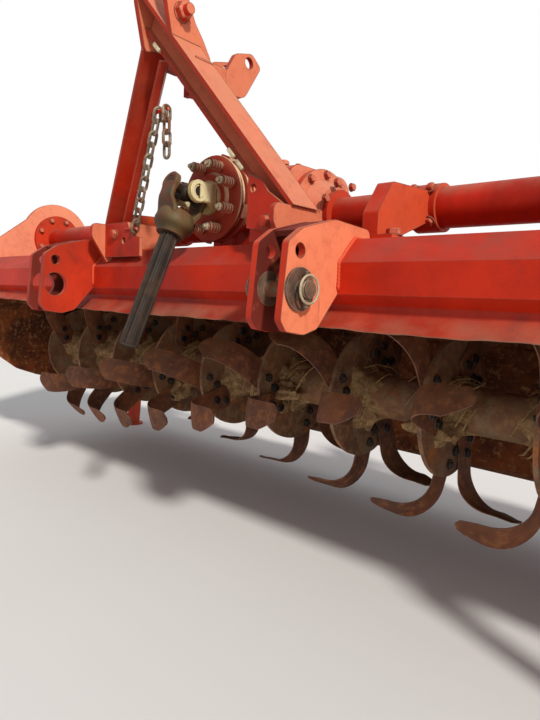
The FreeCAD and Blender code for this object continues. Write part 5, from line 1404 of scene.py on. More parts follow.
@dataclass
class SlipClutch(Dressing):
    """Friction discs pressed together by eight coil springs on bolts."""

    z: float = INPUT_Z
    front: float = 244.0
    radius: float = 101.0
    disc: float = 7.0
    gap: float = 6.0
    circle: float = 77.0
    spring: float = 38.0
    count: int = 8
    plates: int = 4
    bore: float = 30.0
    wire: float = 2.9
    wound: float = 9.4
    turns: float = 5.2

    def build(self) -> None:
        """Rims, linings, springs, then bolts."""
        rims, linings = Bag(), Bag()
        centre = np.array([0.0, 0.0, self.z])
        for i in range(self.plates):
            y = self.front + i * (self.disc + self.gap)
            edge = self.radius - (5 if i % 2 else 0)
            lip = [(0, self.bore), (0, edge - 2.5), (0.8, edge - 0.6), (2.2, edge),
                   (self.disc - 2.2, edge), (self.disc - 0.8, edge - 0.6),
                   (self.disc, edge - 2.5), (self.disc, self.bore)]
            rims.put(turned_shape(lip, 96), DATUM.at(centre + [0, y, 0]), Axis.REAR.value)
            if i < self.plates - 1:
                lining = [(0, self.bore), (0, edge - 12), (0.8, edge - 11),
                          (self.gap - 0.8, edge - 11), (self.gap, edge - 12),
                          (self.gap, self.bore)]
                linings.put(turned_shape(lining, 72), DATUM.at(centre + [0, y + self.disc, 0]),
                            Axis.REAR.value)
        dish = [(-7, 40), (-7, 52), (-5.5, 56), (-1.5, 60), (0.5, 62), (0.5, 40)]
        rims.put(turned_shape(dish, 64), DATUM.at(centre + [0, self.front, 0]), Axis.REAR.value)
        tabs = ring_of(centre + [0, self.front + 17, 0], Axis.REAR, self.radius - 1, 4, 20)
        for tab in tabs:
            out = tab - centre - [0, self.front + 17, 0]
            rims.put(soft_block((16, 34, 11)), DATUM.at(tab), tuple(out))
        self.piece("clutch_plates", rims, "frame", Skin.CLUTCH, "clutch_steel",
                   ("slip_clutch",), 30.0)
        self.piece("clutch_linings", linings, "frame", Skin.GREASE, "clutch_steel")
        points = ring_of(centre + [0, self.front, 0], Axis.FRONT, self.circle, self.count, 22.5)
        springs, bolts, cups = Bag(), Bag(), Bag()
        place_all(springs, coil(self.turns, self.wound, self.spring - 5, self.wire),
                  points - [0, 1, 0], Axis.FRONT.value)
        stud = turned_shape([(0, 5), (self.spring + 6, 5), (self.spring + 7, 5.3),
                             (self.spring + 8, 4.9), (self.spring + 9, 5.2),
                             (self.spring + 10, 4.2)], 16)
        place_all(bolts, stud, points, Axis.FRONT.value)
        place_all(bolts, hex_bolt(16, 7), points - [0, self.spring - 4, 0], Axis.FRONT.value)
        cup = turned_shape([(0, 5), (0, 11.5), (2.4, 12), (2.6, 9), (3.4, 8.4), (3.4, 5)], 20)
        place_all(cups, cup, points - [0, self.spring - 6.5, 0], Axis.FRONT.value)
        place_all(cups, cup, points, Axis.FRONT.value)
        self.piece("clutch_springs", springs, "frame", Skin.WIRE, "clutch_steel", (), 50.0)
        self.piece("clutch_bolts", bolts, "frame", Skin.PLATED, "clutch_steel")
        self.piece("clutch_cups", cups, "frame", Skin.CLUTCH, "clutch_steel")


@dataclass
class UniversalJoint(Dressing):
    """Curved yokes, bearing caps and seals of the joint."""

    y: float = CROSS_Y
    z: float = INPUT_Z
    inside: float = 37.0
    ear: float = 14.0
    ear_radius: float = 25.0
    hub_gap: float = 62.0
    hub_radius: float = 40.0
    lean: float = 23.0
    shaft_length: float = 376.0
    shaft_sides: int = 336
    ribs: int = 14
    rib_root: float = 18.9
    rib_height: float = 1.6
    foot_x: float = 25.0
    foot_width: float = 66.0
    section: int = 24

    def arm(self, way: int) -> Shape:
        """One arm of a yoke, with its ear beside the cross and its foot on the hub below.

        The middle line goes from the ear's top down beside the cross and bends in to the hub
        with a smooth step; each row is a rectangle with rounded corners, thicker at the foot.

        Args:
            way: side that it stands on, 1 or -1.

        Returns:
            The arm, in metres.
        """
        t = np.linspace(0.0, 1.0, 16)
        z = -self.hub_gap * t * 1.06
        step = np.clip((t - 0.45) / 0.55, 0, 1)
        step = step * step * (3 - 2 * step)
        x = way * (self.inside + self.ear / 2
                   + (self.foot_x - self.inside - self.ear / 2) * step)
        deep = (self.ear + 7 * step) / 2
        wide = (2 * self.ear_radius - 5 * np.sin(np.pi * np.clip(t * 1.4, 0, 1))
                + (self.foot_width - 2 * self.ear_radius) * step) / 2
        a = steps_round(self.section)
        cx = np.sign(np.cos(a)) * np.abs(np.cos(a)) ** 0.45
        cy = np.sign(np.sin(a)) * np.abs(np.sin(a)) ** 0.45
        ring = np.stack([x[:, None] + deep[:, None] * cx, wide[:, None] * cy,
                         np.repeat(z[:, None], self.section, 1)], -1)
        return closed_rings(ring * MM, flipped=True)

    def yoke(self, bag: Bag, turn: Array) -> None:
        """Two arms and their round ears, turned about the cross.

        Args:
            bag: piece to add to.
            turn: turning matrix.
        """
        origin = DATUM.at([0, self.y, self.z])
        r = self.ear_radius
        eye = turned_shape([(0, 13), (0, r - 2), (1.5, r), (self.ear - 2, r),
                            (self.ear, r - 2.4), (self.ear, 15.5), (self.ear - 2.5, 15),
                            (self.ear - 2.5, 3)], 40)
        for way in (-1, 1):
            bag.repeat(self.arm(way), origin[None], turn[None])
            flat = turn @ frame_of((way, 0, 0))
            bag.repeat(eye, (origin + turn @ (np.array([way * self.inside, 0, 0]) * MM))[None],
                       flat[None])

    def shaft(self, origin: Array, axis: Array) -> None:
        """Ribbed half shaft below the collar.

        Each section's radius is the root radius plus a wave that is steep at its flanks, so
        that the ribs have flat tops; the free end has a small chamfer.

        Args:
            origin: middle of the cross, in metres.
            axis: direction that the shaft hangs in.
        """
        around = steps_round(self.shaft_sides)
        rib = np.clip(np.sin(self.ribs * around) * 2.4, -1, 1)
        where = np.array([self.hub_gap + 36, self.shaft_length - 2.5, self.shaft_length])
        radius = self.rib_root + self.rib_height * rib[None] \
            - np.array([0, 0, 1.8])[:, None]
        rings = np.stack([radius * np.cos(around), radius * np.sin(around),
                          np.repeat(where[:, None], self.shaft_sides, 1)], axis=-1)
        ends = np.array([[0, 0, where[0]], [0, 0, where[-1]]])
        bag = Bag()
        bag.put(closed_rings(rings * MM, ends * MM), origin, tuple(axis))
        self.piece("ribbed_shaft", bag, "drive_shaft", Skin.GREASE, "greasy_steel",
                   ("spline_shaft",), 30.0)

    def build(self) -> None:
        """Fixed yoke, hanging yoke, then caps and seals."""
        tilt = math.radians(-self.lean)
        down = np.array([[1, 0, 0], [0, math.cos(tilt), -math.sin(tilt)],
                         [0, math.sin(tilt), math.cos(tilt)]])
        quarter = np.array([[0.0, -1.0, 0], [1.0, 0, 0], [0, 0, 1]])
        to_rear = np.array([[1.0, 0, 0], [0, 0, -1.0], [0, 1.0, 0]])
        origin = DATUM.at([0, self.y, self.z])
        fixed = Bag()
        self.yoke(fixed, to_rear)
        hub = turned_shape([(0, 20), (0, 36), (3, self.hub_radius), (20, self.hub_radius)], 48)
        fixed.put(hub, DATUM.at([0, self.y + self.hub_gap, self.z]), Axis.REAR.value)
        self.piece("fixed_yoke", fixed, "frame", Skin.OCHRE, "yoke_steel", ("input_yoke",))
        hanging = Bag()
        self.yoke(hanging, down @ quarter)
        collar = turned_shape([(0, 20), (0, 34), (3, 38), (9, 41), (17, 44), (27, 45.5),
                               (34, 44.5), (40, 41), (45, 36.5), (50, 33.5), (56, 31.5),
                               (56, 18)], 56)
        axis = down @ np.array([0, 0, -1.0])
        hanging.put(collar, origin + axis * (self.hub_gap - 10) * MM, tuple(axis))
        self.piece("hanging_yoke", hanging, "drive_shaft", Skin.OLIVE, "yoke_steel",
                   ("outer_yoke",))
        self.shaft(origin, axis)
        cap = turned_shape([(0, 9), (0, 14.6), (2, 15), (self.ear - 4, 15), (self.ear - 3, 13),
                            (self.ear - 3, 4), (self.ear - 3.6, 1)], 32)
        seal = turned_shape([(0, 8), (0, 13), (3, 15.5), (5, 14), (8, 16.5), (8, 8)], 32)
        for name, turn, body in (("fixed", to_rear, "frame"),
                                 ("hanging", down @ quarter, "drive_shaft")):
            bag = Bag()
            for way in (-1, 1):
                flat = turn @ frame_of((way, 0, 0))
                for shape, x in ((cap, self.inside), (seal, self.inside - 8)):
                    bag.repeat(shape, (origin + turn @ (np.array([way * x, 0, 0]) * MM))[None],
                               flat[None])
            self.piece(f"{name}_cross_caps", bag, body,
                       Skin.OCHRE if name == "fixed" else Skin.GREASE, "yoke_steel")


@dataclass
class CheckChain(Dressing):
    """Old chain from the mast's left leg to its foot, with a loose tail on a hook."""

    upper: tuple[float, float, float] = (-59.434, 125.603, 1045.043)
    way: tuple[float, float, float] = (-0.43287, 0.09276, -0.89667)
    tail: tuple[float, float, float] = (-24.226, 125.189, 1042.592)
    tail_way: tuple[float, float, float] = (0.0, 0.02999, -0.99955)
    pitch: float = 26.6
    bar: float = 3.5
    links: int = 11
    tail_links: int = 4
    bend: float = 9.5
    straight: float = 7.5

    def link(self) -> Shape:
        """Oval link of round bar in the Y-Z plane: two half circles and two straights.

        Returns:
            The link, in metres.
        """
        a = steps_round(28)
        path = np.stack([np.zeros(len(a)), self.bend * np.cos(a), self.bend * np.sin(a)
                         + self.straight * np.sign(np.sin(a))
                         * np.clip(np.abs(np.sin(a)) * 6, 0, 1)], 1)
        return bar_shape(path, self.bar, 10, (1, 0, 0), closed=True)

    def run(self, bag: Bag, start: Sequence[float], way: Sequence[float], count: int) -> None:
        """Links along a direction, every other one turned by a quarter.

        Args:
            bag: piece to add to.
            start: middle of the first link.
            way: the direction.
            count: number of links.
        """
        along = Vector(way).normalized()
        swing = np.array(Vector((0, 0, -1)).rotation_difference(along).to_matrix())
        steps = np.arange(count)
        spots = np.asarray(start, float) + steps[:, None] * self.pitch * np.array(along)
        quarter = np.array([[0.0, -1, 0], [1, 0, 0], [0, 0, 1]])
        turns = np.array([swing @ (quarter if i % 2 else np.eye(3)) for i in steps])
        bag.repeat(self.link(), DATUM.at(spots), turns)

    def build(self) -> None:
        """Both runs of links, then the hook between them."""
        bag = Bag()
        self.run(bag, self.upper, self.way, self.links)
        self.run(bag, self.tail, self.tail_way, self.tail_links)
        t = np.linspace(-0.9, 3.9, 26)
        hook = np.stack([-40 + 15 * np.cos(t), 125 + 1.5 * t, 1046 - 17 * np.sin(t)], 1)
        bag.take(moved(bar_shape(hook, np.linspace(4.2, 3.0, 26), 10, (0, 1, 0.2))))
        self.piece("check_chain_links", bag, "frame", Skin.CHAIN, "chain_steel",
                   ("mast_chain",), 60.0)


@dataclass
class Hood(Dressing):
    """Wavy lip under the beam, weld beads and bolts of the hood and beam."""

    half: float = HALF_WIDTH
    beam_y: float = BEAM_FRONT
    lip_top: float = BEAM_BOTTOM
    drop: float = 64.0
    sheet: float = 5.0
    corner: float = 412.0
    strip_radii: tuple[float, float] = (299.0, 296.4)
    seam: float = 304.0
    bolt_radius: float = 311.0
    bolt_angle: float = 23.4
    bolt_shares: tuple[float, ...] = (-0.93, -0.44, 0.05, 0.32, 0.8)

    def lip(self) -> Bag:
        """Flared sheet edge that years of knocks have bent.

        Rows run down the section: in under the beam's lower bevel, then out to the front in
        an arc. Columns run along X; the lower rows move by a sum of slow and quick sines that
        grow down the sheet, and the short end rises in a straight line.

        Returns:
            The bag with the lip.
        """
        x = np.linspace(-self.half, self.half, 420)
        down = np.linspace(0.0, 1.0, 12)
        bent = np.clip((down - 0.35) / 0.65, 0, 1) ** 1.3
        hollow = np.interp(down, [0, 0.2, 0.34, 0.5, 0.72, 0.9, 1.0],
                           [2.0, 15.0, 20.0, 20.0, 9.0, -8.0, -18.0])
        wave = (3.0 * np.sin(x / 61.0 + 1.0) + 2.2 * np.sin(x / 23.0) + 1.2 * np.sin(x / 9.7 + 2)
                + 1.6 * np.sin(x / 140.0))
        short = np.clip((-self.corner - x) / (self.half - self.corner), 0, 1) * 30.0
        low = self.lip_top - self.drop + short + np.clip(wave, -5.0, 6.0) * 0.35 + 2.2
        z = self.lip_top + (low - self.lip_top) * down[:, None]
        y = self.beam_y + hollow[:, None] - (wave * 0.3)[None] * bent[:, None]
        front = np.stack([np.broadcast_to(x, z.shape), y, z], axis=-1)
        back = front + np.array([0, self.sheet, 0.8])
        rings = np.concatenate([front, back[::-1]], axis=0).transpose(1, 0, 2)
        bag = Bag()
        bag.take(closed_rings(DATUM.at(rings), flipped=True))
        return bag

    def strip(self) -> Bag:
        """Thin strip inside the hood's rear edge that closes the gap to the apron.

        The section runs down an arc about the rotor axis whose radius grows a little towards
        the lower edge; the edge is bent in and out by two sines along X.

        Returns:
            The bag with the strip.
        """
        x = np.linspace(-self.half + 6, self.half - 6, 120)
        angle = np.radians(np.linspace(27.0, 8.5, 8))[:, None]
        grow = np.array([0.0, 0.0, 0.0, 1.0, 2.4, 4.0, 5.6, 7.0])[:, None]
        wave = (1.0 * np.sin(x / 83.0) + 0.7 * np.sin(x / 31.0))[None] * (grow > 1)
        rings = []
        for radius in self.strip_radii:
            out = radius + grow + wave
            rings.append(np.stack([np.broadcast_to(x, out.shape), ROTOR_Y + out * np.cos(angle),
                                   ROTOR_Z + out * np.sin(angle)], axis=-1))
        ring = np.concatenate([rings[0], rings[1][::-1]], axis=0).transpose(1, 0, 2)
        bag = Bag()
        bag.take(closed_rings(DATUM.at(ring)))
        return bag

    def build(self) -> None:
        """Lip, strip at the hinge, beads along the joints, then bolts."""
        self.piece("bent_lip", self.lip(), "frame", Skin.LIP, "paint", ("front_lip",), 30.0)
        self.piece("hinge_strip", self.strip(), "frame", Skin.SHELL, "paint", (), 30.0)
        beads = Bag()
        lines: list[list[tuple[float, float, float]]] = []
        top = BEAM_TOP + 1
        for middle in (-BRACKET_X, BRACKET_X):
            for face in (-39.5, -25.5, 25.5, 39.5):
                x = middle + face
                lines.append([(x, 150, 655), (x, 150, 707), (x, 196, top), (x, 244, top)])
        for x in (-329, -211, 211, 329):
            lines.append([(x, 198, top), (x, 260, top)])
        for side in (-1, 1):
            lines.append([(side * (CLAMP_X - 52), 248, top), (side * (CLAMP_X + 52), 248, top)])
            for turn in (0.0, 1.0):
                lines.append([(side * (self.half - 1), ROTOR_Y + self.seam * math.cos(a),
                               ROTOR_Z + self.seam * math.sin(a))
                              for a in np.linspace(2.2 - turn, 1.2 - turn, 14)])
        for seed, line in enumerate(lines, 1):
            beads.take(bead(line, 4.2, seed))
        self.piece("weld_beads", beads, "frame", Skin.RED, "paint", (), 60.0)
        self.bolts()

    def bolts(self) -> None:
        """Clamp bolts, strap bolts and hinge bolts."""
        bag = Bag()
        big = hex_bolt(24, 11, 18)
        small = hex_bolt(17, 8, 13)
        for side in (-1, 1):
            for offset in (-38, 38):
                place_all(bag, big, np.array([[side * CLAMP_X + offset, 278.0, 767.0]]),
                          Axis.UP.value)
            for offset in (-20, 20):
                place_all(bag, small, np.array([[side * CLAMP_X + offset, 452.0, 886.0]]),
                          (0, -0.77, 0.64))
                place_all(bag, small, np.array([[side * CLAMP_X + offset, 452.0, 818.0]]),
                          (0, -0.77, -0.64))
        angle = math.radians(self.bolt_angle)
        out = (0.0, math.cos(angle), math.sin(angle))
        for share in self.bolt_shares:
            for offset in (14, 46):
                spot = [[share * self.half + offset, ROTOR_Y + self.bolt_radius * out[1],
                         ROTOR_Z + self.bolt_radius * out[2]]]
                place_all(bag, small, np.array(spot), out)
        low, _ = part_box("rotor_bearing")
        face = (low[0] - DATUM.x) / MM
        place_all(bag, hex_bolt(19, 9), ring_of((face, ROTOR_Y, ROTOR_Z), Axis.LEFT, 64, 6, 30),
                  Axis.LEFT.value)
        self.piece("frame_bolts", bag, "frame", Skin.BOLT, "pin_steel")


@dataclass
class Drive(Dressing):
    """Bolts, plugs and rims of the gearbox, the cross tubes and the side drive case."""

    y: float = TUBE_Y
    z: float = TUBE_Z
    input_z: float = INPUT_Z
    rotor: tuple[float, float] = (ROTOR_Y, ROTOR_Z)
    cover_x: float = 146.0
    inner_x: float = 202.0
    outer_x: float = 1251.0
    case_x: float = 1365.0
    case_radii: tuple[float, float] = (103.0, 87.0)
    top: float = 984.0
    front: float = 372.0

    def build(self) -> None:
        """Rings of bolts on every flange, then plugs and the neck's rim."""
        bag = Bag()
        bolt = hex_bolt(17, 9, 11)
        for side, axis in ((-1, Axis.LEFT), (1, Axis.RIGHT)):
            place_all(bag, bolt,
                      ring_of((side * self.cover_x, self.y, self.z), axis, 107, 10, 18),
                      axis.value)
            place_all(bag, bolt,
                      ring_of((side * self.inner_x, self.y, self.z), axis, 82, 8, 22.5),
                      axis.value)
            back = Axis.RIGHT if side < 0 else Axis.LEFT
            place_all(bag, bolt,
                      ring_of((side * self.outer_x, self.y, self.z), back, 82, 8, 22.5),
                      back.value)
        place_all(bag, hex_bolt(13, 7, 9), ring_of((0, self.y, self.top), Axis.UP, 68, 6, 15),
                  Axis.UP.value)
        place_all(bag, hex_bolt(13, 6, 9), self.case_points(), Axis.RIGHT.value)
        self.piece("drive_bolts", bag, "frame", Skin.BOLT, "pin_steel")
        parts = Bag()
        rim = turned_shape([(0, 60), (0, 66), (3, 70), (11, 70), (14, 67), (14, 60)], 56)
        parts.put(rim, DATUM.at([0, 304, self.input_z]), Axis.REAR.value)
        plug = turned_shape([(0, 17), (4, 17), (4, 13), (14, 13), (16, 11)], 24, six=(2, 3))
        for x, z in ((92, 800), (-92, 868)):
            parts.put(plug, DATUM.at([x, self.front, z]), Axis.FRONT.value)
        vent = turned_shape([(0, 13), (5, 13), (5, 8), (16, 8), (18, 15), (26, 15), (30, 11)], 24)
        parts.put(vent, DATUM.at([0, self.y, self.top]), Axis.UP.value)
        for x in (-104, -52, 52, 104):
            parts.put(soft_block((9, 12, 150), 0.3), DATUM.at([x, self.front + 1, 846]))
        self.piece("gearbox_fittings", parts, "frame", Skin.HOUSING, "housing")

    def case_points(self) -> Array:
        """Bolts round the drive case cover: on its two end circles and its straight sides.

        Returns:
            The bolts' places, in drawing millimetres.
        """
        y0, z0 = self.y, self.z
        y1, z1 = self.rotor
        along = math.atan2(z1 - z0, y1 - y0)
        length = math.hypot(y1 - y0, z1 - z0)
        spots = []
        big, small = self.case_radii
        for centre, radius, start in (((y0, z0), big, along + math.pi / 2),
                                      ((y1, z1), small, along - math.pi / 2)):
            for i in range(6):
                a = start + math.pi * i / 5
                spots.append((self.case_x, centre[0] + radius * math.cos(a),
                              centre[1] + radius * math.sin(a)))
        for side in (-1, 1):
            for share in (0.22, 0.41, 0.6, 0.79):
                radius = big - (big - small) * share
                a = along + side * math.pi / 2
                spots.append((self.case_x, y0 + length * share * math.cos(along)
                              + radius * math.cos(a), z0 + length * share * math.sin(along)
                              + radius * math.sin(a)))
        return np.array(spots)


@dataclass
class Mast(Dressing):
    """Bolts, small pale blocks on the right leg, and beads of the mast and its feet."""

    foot: tuple[float, float, float] = (256.0, 170.0, 823.0)
    top: tuple[float, float, float] = (-19.0, 86.0, 1172.0)
    bolt_y: float = 99.0
    bolt_z: float = 1223.0
    head_face: float = 54.0
    foot_x: float = 326.0

    def build(self) -> None:
        """Pale blocks along the right leg's inner edge, bolts, then beads at both feet."""
        tabs = Bag()
        low, high = np.array(self.foot), np.array(self.top)
        way = (high - low) / np.linalg.norm(high - low)
        for share in (0.06, 0.24, 0.31, 0.98):
            spot = low + (high - low) * share
            tabs.put(soft_block((15, 9, 26), 0.35), DATUM.at(spot + [4, -1, 0]), tuple(way))
        self.piece("leg_pale_blocks", tabs, "frame", Skin.PLATED, "paint")
        bag = Bag()
        for side, axis in ((1, Axis.RIGHT), (-1, Axis.LEFT)):
            place_all(bag, hex_bolt(32, 15, 21),
                      np.array([[side * self.head_face, self.bolt_y, self.bolt_z]]),
                      axis.value)
        for x in (-270.0, 270.0):
            place_all(bag, hex_bolt(22, 10, 15), np.array([[x, 152.0, 790.0]]),
                      Axis.FRONT.value)
        self.piece("mast_bolts", bag, "frame", Skin.BOLT, "pin_steel")
        beads = Bag()
        for seed, x in enumerate((-self.foot_x, self.foot_x), 301):
            beads.take(bead([(x, 160, 757), (x, 196, 756)], 3.8, seed))
        self.piece("mast_beads", beads, "frame", Skin.MAST, "paint", (), 60.0)


@dataclass
class Hitch(Dressing):
    """Sprung ring and cap on the lower link pin, and rings and washers on the pins of the stands.
    """

    x: float = BRACKET_X
    y: float = 42.0
    z: float = 655.0
    reach: float = 56.5
    stand_stack: float = 66.0
    stand_pins: tuple[tuple[float, float], ...] = ((95.0, 600.0), (960.0, 480.0))

    def linchpin(self, bag: Bag, place: Sequence[float], size: float, axis: Axis) -> None:
        """Flat ring over the pin's end.

        Args:
            bag: piece to add to.
            place: middle of the ring.
            size: its radius.
            axis: direction of the pin.
        """
        t = np.linspace(0, 2 * np.pi, 30)[:-1]
        ring = np.stack([size * np.cos(t), size * 1.1 * np.sin(t), 2.0 * np.cos(t)], 1)
        loop = bar_shape(ring, 2.2, 8, (0, 0, 1), closed=True)
        bag.put(loop, DATUM.at(place), axis.value)

    def build(self) -> None:
        """Ring on the link pin, then a ring and a washer on every stand's pin."""
        bag = Bag()
        end = self.x + self.reach + 6
        self.linchpin(bag, (end, self.y, self.z), 21, Axis.RIGHT)
        cap = turned_shape([(0, 14.2), (4, 14.2), (6.5, 12), (7, 4)], 28)
        bag.put(cap, DATUM.at([end - 5, self.y, self.z]), Axis.RIGHT.value)
        face = PLATE_FACE + self.stand_stack
        for side, axis in ((-1, Axis.LEFT), (1, Axis.RIGHT)):
            for y, z in self.stand_pins:
                self.linchpin(bag, (side * (face + 5), y, z), 12, axis)
                place_all(bag, turned_shape([(0, 9.2), (0, 15), (2.4, 15), (2.4, 9.2)], 24),
                          np.array([[side * face, y, z]]), axis.value)
        self.piece("linchpins", bag, "frame", Skin.PLATED, "pin_steel")


@dataclass
class PressureRods(Dressing):
    """Coil springs and lock nuts on the rods that press the apron down."""

    x: float = 620.0
    eye: tuple[float, float] = (1020.0, 350.0)
    slot: tuple[float, float] = (860.0, 750.0)
    start: float = 118.0
    length: float = 232.0
    radius: float = 24.0
    wire: float = 4.0

    def build(self) -> None:
        """One spring and its nuts on each rod."""
        way = np.array([0.0, self.slot[0] - self.eye[0], self.slot[1] - self.eye[1]])
        reach = float(np.linalg.norm(way))
        way = way / reach
        for side, name in ((-1, "left"), (1, "right")):
            root = np.array([side * self.x, *self.eye])
            bag = Bag()
            bag.put(coil(13.0, self.radius - self.wire, self.length, self.wire),
                    DATUM.at(root + way * self.start), tuple(way))
            self.piece(f"pressure_spring_{name}", bag, f"rod_{name}", Skin.SPRING,
                       "spring_steel", (f"rod_spring_{name}",), 50.0)
            nuts = Bag()
            nut = turned_shape([(0, 15), (0.6, 17), (13, 17), (14, 15)], 24, six=(0, 1, 2, 3))
            nuts.put(nut, DATUM.at(root + way * (reach + 21)), tuple(way))
            thread = turned_shape([(k * 2.0, 9.3 if k % 2 else 8.6) for k in range(17)], 24)
            nuts.put(thread, DATUM.at(root + way * (reach + 36)), tuple(way))
            self.piece(f"rod_nuts_{name}", nuts, f"rod_{name}", Skin.PIN, "rod_steel")


@dataclass
class Apron(Dressing):
    """Rolled hem along the apron's lower edge."""

    y: float = 968.0
    z: float = 165.0
    inset: float = 4.0
    hem: float = 6.0

    def build(self) -> None:
        """Hem that follows the lower edge, bent a little in and out."""
        low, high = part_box("apron")
        left = (low[0] - DATUM.x) / MM + self.inset
        right = (high[0] - DATUM.x) / MM - self.inset
        x = np.linspace(left, right, 160)
        path = np.stack([x, self.y - 3 + 1.2 * np.sin(x / 90), self.z + 7 + np.sin(x / 37)], 1)
        bag = Bag()
        bag.take(moved(bar_shape(path, self.hem, 10, (0, 0, 1))))
        self.piece("apron_hem", bag, "apron", Skin.HINGE, "paint", (), 60.0)


@dataclass
class NodePaint:
    """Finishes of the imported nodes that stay.

    Attributes:
        kit: materials by their skin.
        table: skin of every node that isn't plain red paint.
    """

    kit: dict[Skin, Material]
    table: dict[str, Skin] = field(default_factory=lambda: {
        "main_beam": Skin.BEAM, "hood_shell": Skin.SHELL, "apron": Skin.SHELL,
        "side_plate_left": Skin.PLATE, "side_plate_right": Skin.PLATE,
        "rotor_bearing": Skin.ROTOR, "apron_hinge": Skin.HINGE, "apron_lugs": Skin.HINGE,
        "bracket_webs": Skin.PALE,
        "gearbox": Skin.HOUSING, "gearbox_cover_left": Skin.HOUSING,
        "gearbox_cover_right": Skin.HOUSING, "cross_tube_left": Skin.TUBE,
        "cross_tube_right": Skin.TUBE, "hitch_bracket_left": Skin.SHADED,
        "hitch_bracket_right": Skin.PALE, "link_pin": Skin.PIN, "mast_leg_left": Skin.MAST,
        "mast_leg_right": Skin.MAST, "mast_feet": Skin.MAST, "mast_head": Skin.MAST,
        "mast_lugs": Skin.MAST, "input_yoke": Skin.OCHRE, "outer_yoke": Skin.OLIVE,
        "joint_cross": Skin.GREASE, "spline_shaft": Skin.GREASE, "rotor_shaft": Skin.ROTOR,
        "pressure_rod_left": Skin.PIN, "pressure_rod_right": Skin.PIN})

    def dress(self, nodes: dict[str, bpy.types.Object]) -> None:
        """Put each node's finish on its object's material slots.

        Args:
            nodes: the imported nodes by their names.
        """
        for name, node in nodes.items():
            material = self.kit[self.table.get(name, Skin.RED)]
            if not node.material_slots:
                node.data.materials.append(material)
            for place in node.material_slots:
                place.material = material
        LOG.info("dressed %d nodes", len(nodes))


@dataclass(frozen=True)
class CameraFit:
    """Camera that was fitted to the photograph, in the drawing frame.

    Attributes:
        place: position in metres.
        heading: turn to the left of the driving direction, in degrees.
        pitch: lean down from the horizontal, in degrees.
        roll: turn about the line of sight, in degrees.
        focal_px: focal length in pixels.
        tall_px: height of the picture in pixels.
        sensor: width and height of the sensor, in millimetres.
    """

    place: tuple[float, float, float] = (1.0487, -0.6784, 0.6331)
    heading: float = 47.8
    pitch: float = 5.91
    roll: float = -2.45
    focal_px: float = 564.95
    tall_px: float = 720.0
    sensor: tuple[float, float] = (27.0, 36.0)

    def build(self) -> None:
        """Add the camera and make it the scene's."""
        phi, theta, roll = (math.radians(a) for a in (self.heading, self.pitch, self.roll))
        ahead = Vector((-math.cos(phi) * math.cos(theta), math.sin(phi) * math.cos(theta),
                        -math.sin(theta)))
        side = Vector((math.sin(phi), math.cos(phi), 0.0))
        over = side.cross(ahead)
        right = math.cos(roll) * side - math.sin(roll) * over
        above = math.sin(roll) * side + math.cos(roll) * over
        turn = Matrix((right, above, -ahead)).transposed().to_4x4()
        data = bpy.data.cameras.new("view")
        data.sensor_fit = "VERTICAL"
        data.sensor_width, data.sensor_height = self.sensor
        data.lens = self.focal_px * self.sensor[1] / self.tall_px
        data.clip_start = 0.02
        data.clip_end = 100.0
        camera = bpy.data.objects.new("view", data)
        bpy.context.scene.collection.objects.link(camera)
        place = Vector(self.place) + Vector((DATUM.x, DATUM.y, 0.0))
        camera.matrix_world = Matrix.Translation(place) @ turn
        bpy.context.scene.camera = camera


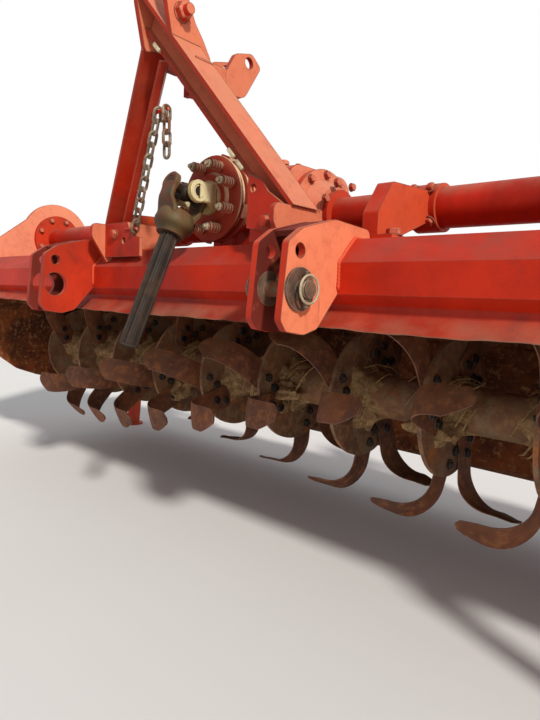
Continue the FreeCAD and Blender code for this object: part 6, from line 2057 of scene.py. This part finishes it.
@dataclass(frozen=True)
class Studio:
    """Pale floor, soft world and one warm sun with a soft edge.

    Attributes:
        sun_from: direction that the sun stands in, from the object.
        sun_power: strength of the sun.
        fill: strength of the world on the object.
        soft: width of the sun, in degrees.
        floor_half: half side of the floor, in metres.
    """

    sun_from: tuple[float, float, float] = (0.86, -0.40, 0.66)
    sun_power: float = 3.0
    fill: float = 0.42
    soft: float = 5.0
    floor_half: float = 14.0

    def world(self) -> None:
        """White towards the camera, in mirrors and through glass; dimmer light elsewhere."""
        world = bpy.data.worlds.new("studio")
        bpy.context.scene.world = world
        world.use_nodes = True
        graph = Graph(world.node_tree)
        path = graph.node("ShaderNodeLightPath")
        lit = graph.node("ShaderNodeBackground")
        lit.inputs["Color"].default_value = (0.93, 0.96, 1.0, 1.0)
        lit.inputs["Strength"].default_value = self.fill
        shown = graph.node("ShaderNodeBackground")
        shown.inputs["Color"].default_value = (1.0, 1.0, 1.0, 1.0)
        shown.inputs["Strength"].default_value = 1.0
        seen = graph.math("MAXIMUM", path.outputs["Is Camera Ray"],
                          graph.math("MAXIMUM", path.outputs["Is Glossy Ray"],
                                     path.outputs["Is Transmission Ray"]))
        blend = graph.node("ShaderNodeMixShader")
        graph.feed(blend.inputs[0], seen)
        graph.feed(blend.inputs[1], lit.outputs[0])
        graph.feed(blend.inputs[2], shown.outputs[0])
        output = graph.node("ShaderNodeOutputWorld")
        graph.feed(output.inputs["Surface"], blend.outputs[0])

    def sun(self) -> None:
        """Key light from the front right, as on the photographed machine."""
        data = bpy.data.lights.new("sun", "SUN")
        data.energy = self.sun_power
        data.angle = math.radians(self.soft)
        data.color = (1.0, 0.96, 0.9)
        lamp = bpy.data.objects.new("sun", data)
        bpy.context.scene.collection.objects.link(lamp)
        turn = Vector(self.sun_from).to_track_quat("Z", "Y").to_matrix().to_4x4()
        lamp.matrix_world = Matrix.Translation(Vector(self.sun_from) * 4) @ turn

    def floor(self) -> None:
        """Plain pale floor that keeps the object's shadow."""
        mesh = bpy.data.meshes.new("floor")
        size = self.floor_half
        mesh.from_pydata([(-size, -size, 0), (size, -size, 0), (size, size, 0),
                          (-size, size, 0)], [], [(0, 1, 2, 3)])
        ground = bpy.data.objects.new("floor", mesh)
        bpy.context.scene.collection.objects.link(ground)
        material = bpy.data.materials.new("pale_floor")
        material.use_nodes = True
        graph = Graph(material.node_tree)
        shader = graph.node("ShaderNodeBsdfPrincipled")
        cloud = graph.noise(graph.place(), 1.4, 3.0, 0.5)
        graph.feed(shader.inputs["Base Color"],
                   graph.mix(cloud, (0.80, 0.79, 0.77, 1.0), (0.86, 0.85, 0.83, 1.0)))
        shader.inputs["Roughness"].default_value = 0.9
        output = graph.node("ShaderNodeOutputMaterial")
        graph.feed(output.inputs["Surface"], shader.outputs[0])
        mesh.materials.append(material)

    def build(self) -> None:
        """All of the stage."""
        self.world()
        self.sun()
        self.floor()


def main() -> None:
    """Build the stage, the finishes and every sub-assembly in order."""
    logging.basicConfig(level=logging.INFO)
    bpy.context.scene.view_settings.view_transform = "Standard"
    CameraFit().build()
    Studio().build()
    effects = EffectKit()
    effects.build()
    kit = {skin: skin.value.build(effects) for skin in Skin}
    NodePaint(kit).dress(frame["nodes"])
    for assembly in (Rotor, SlipClutch, UniversalJoint, CheckChain, Hood, Drive, Mast, Hitch,
                     PressureRods, Apron):
        assembly(kit).build()


if __name__ == "__main__":
    main()
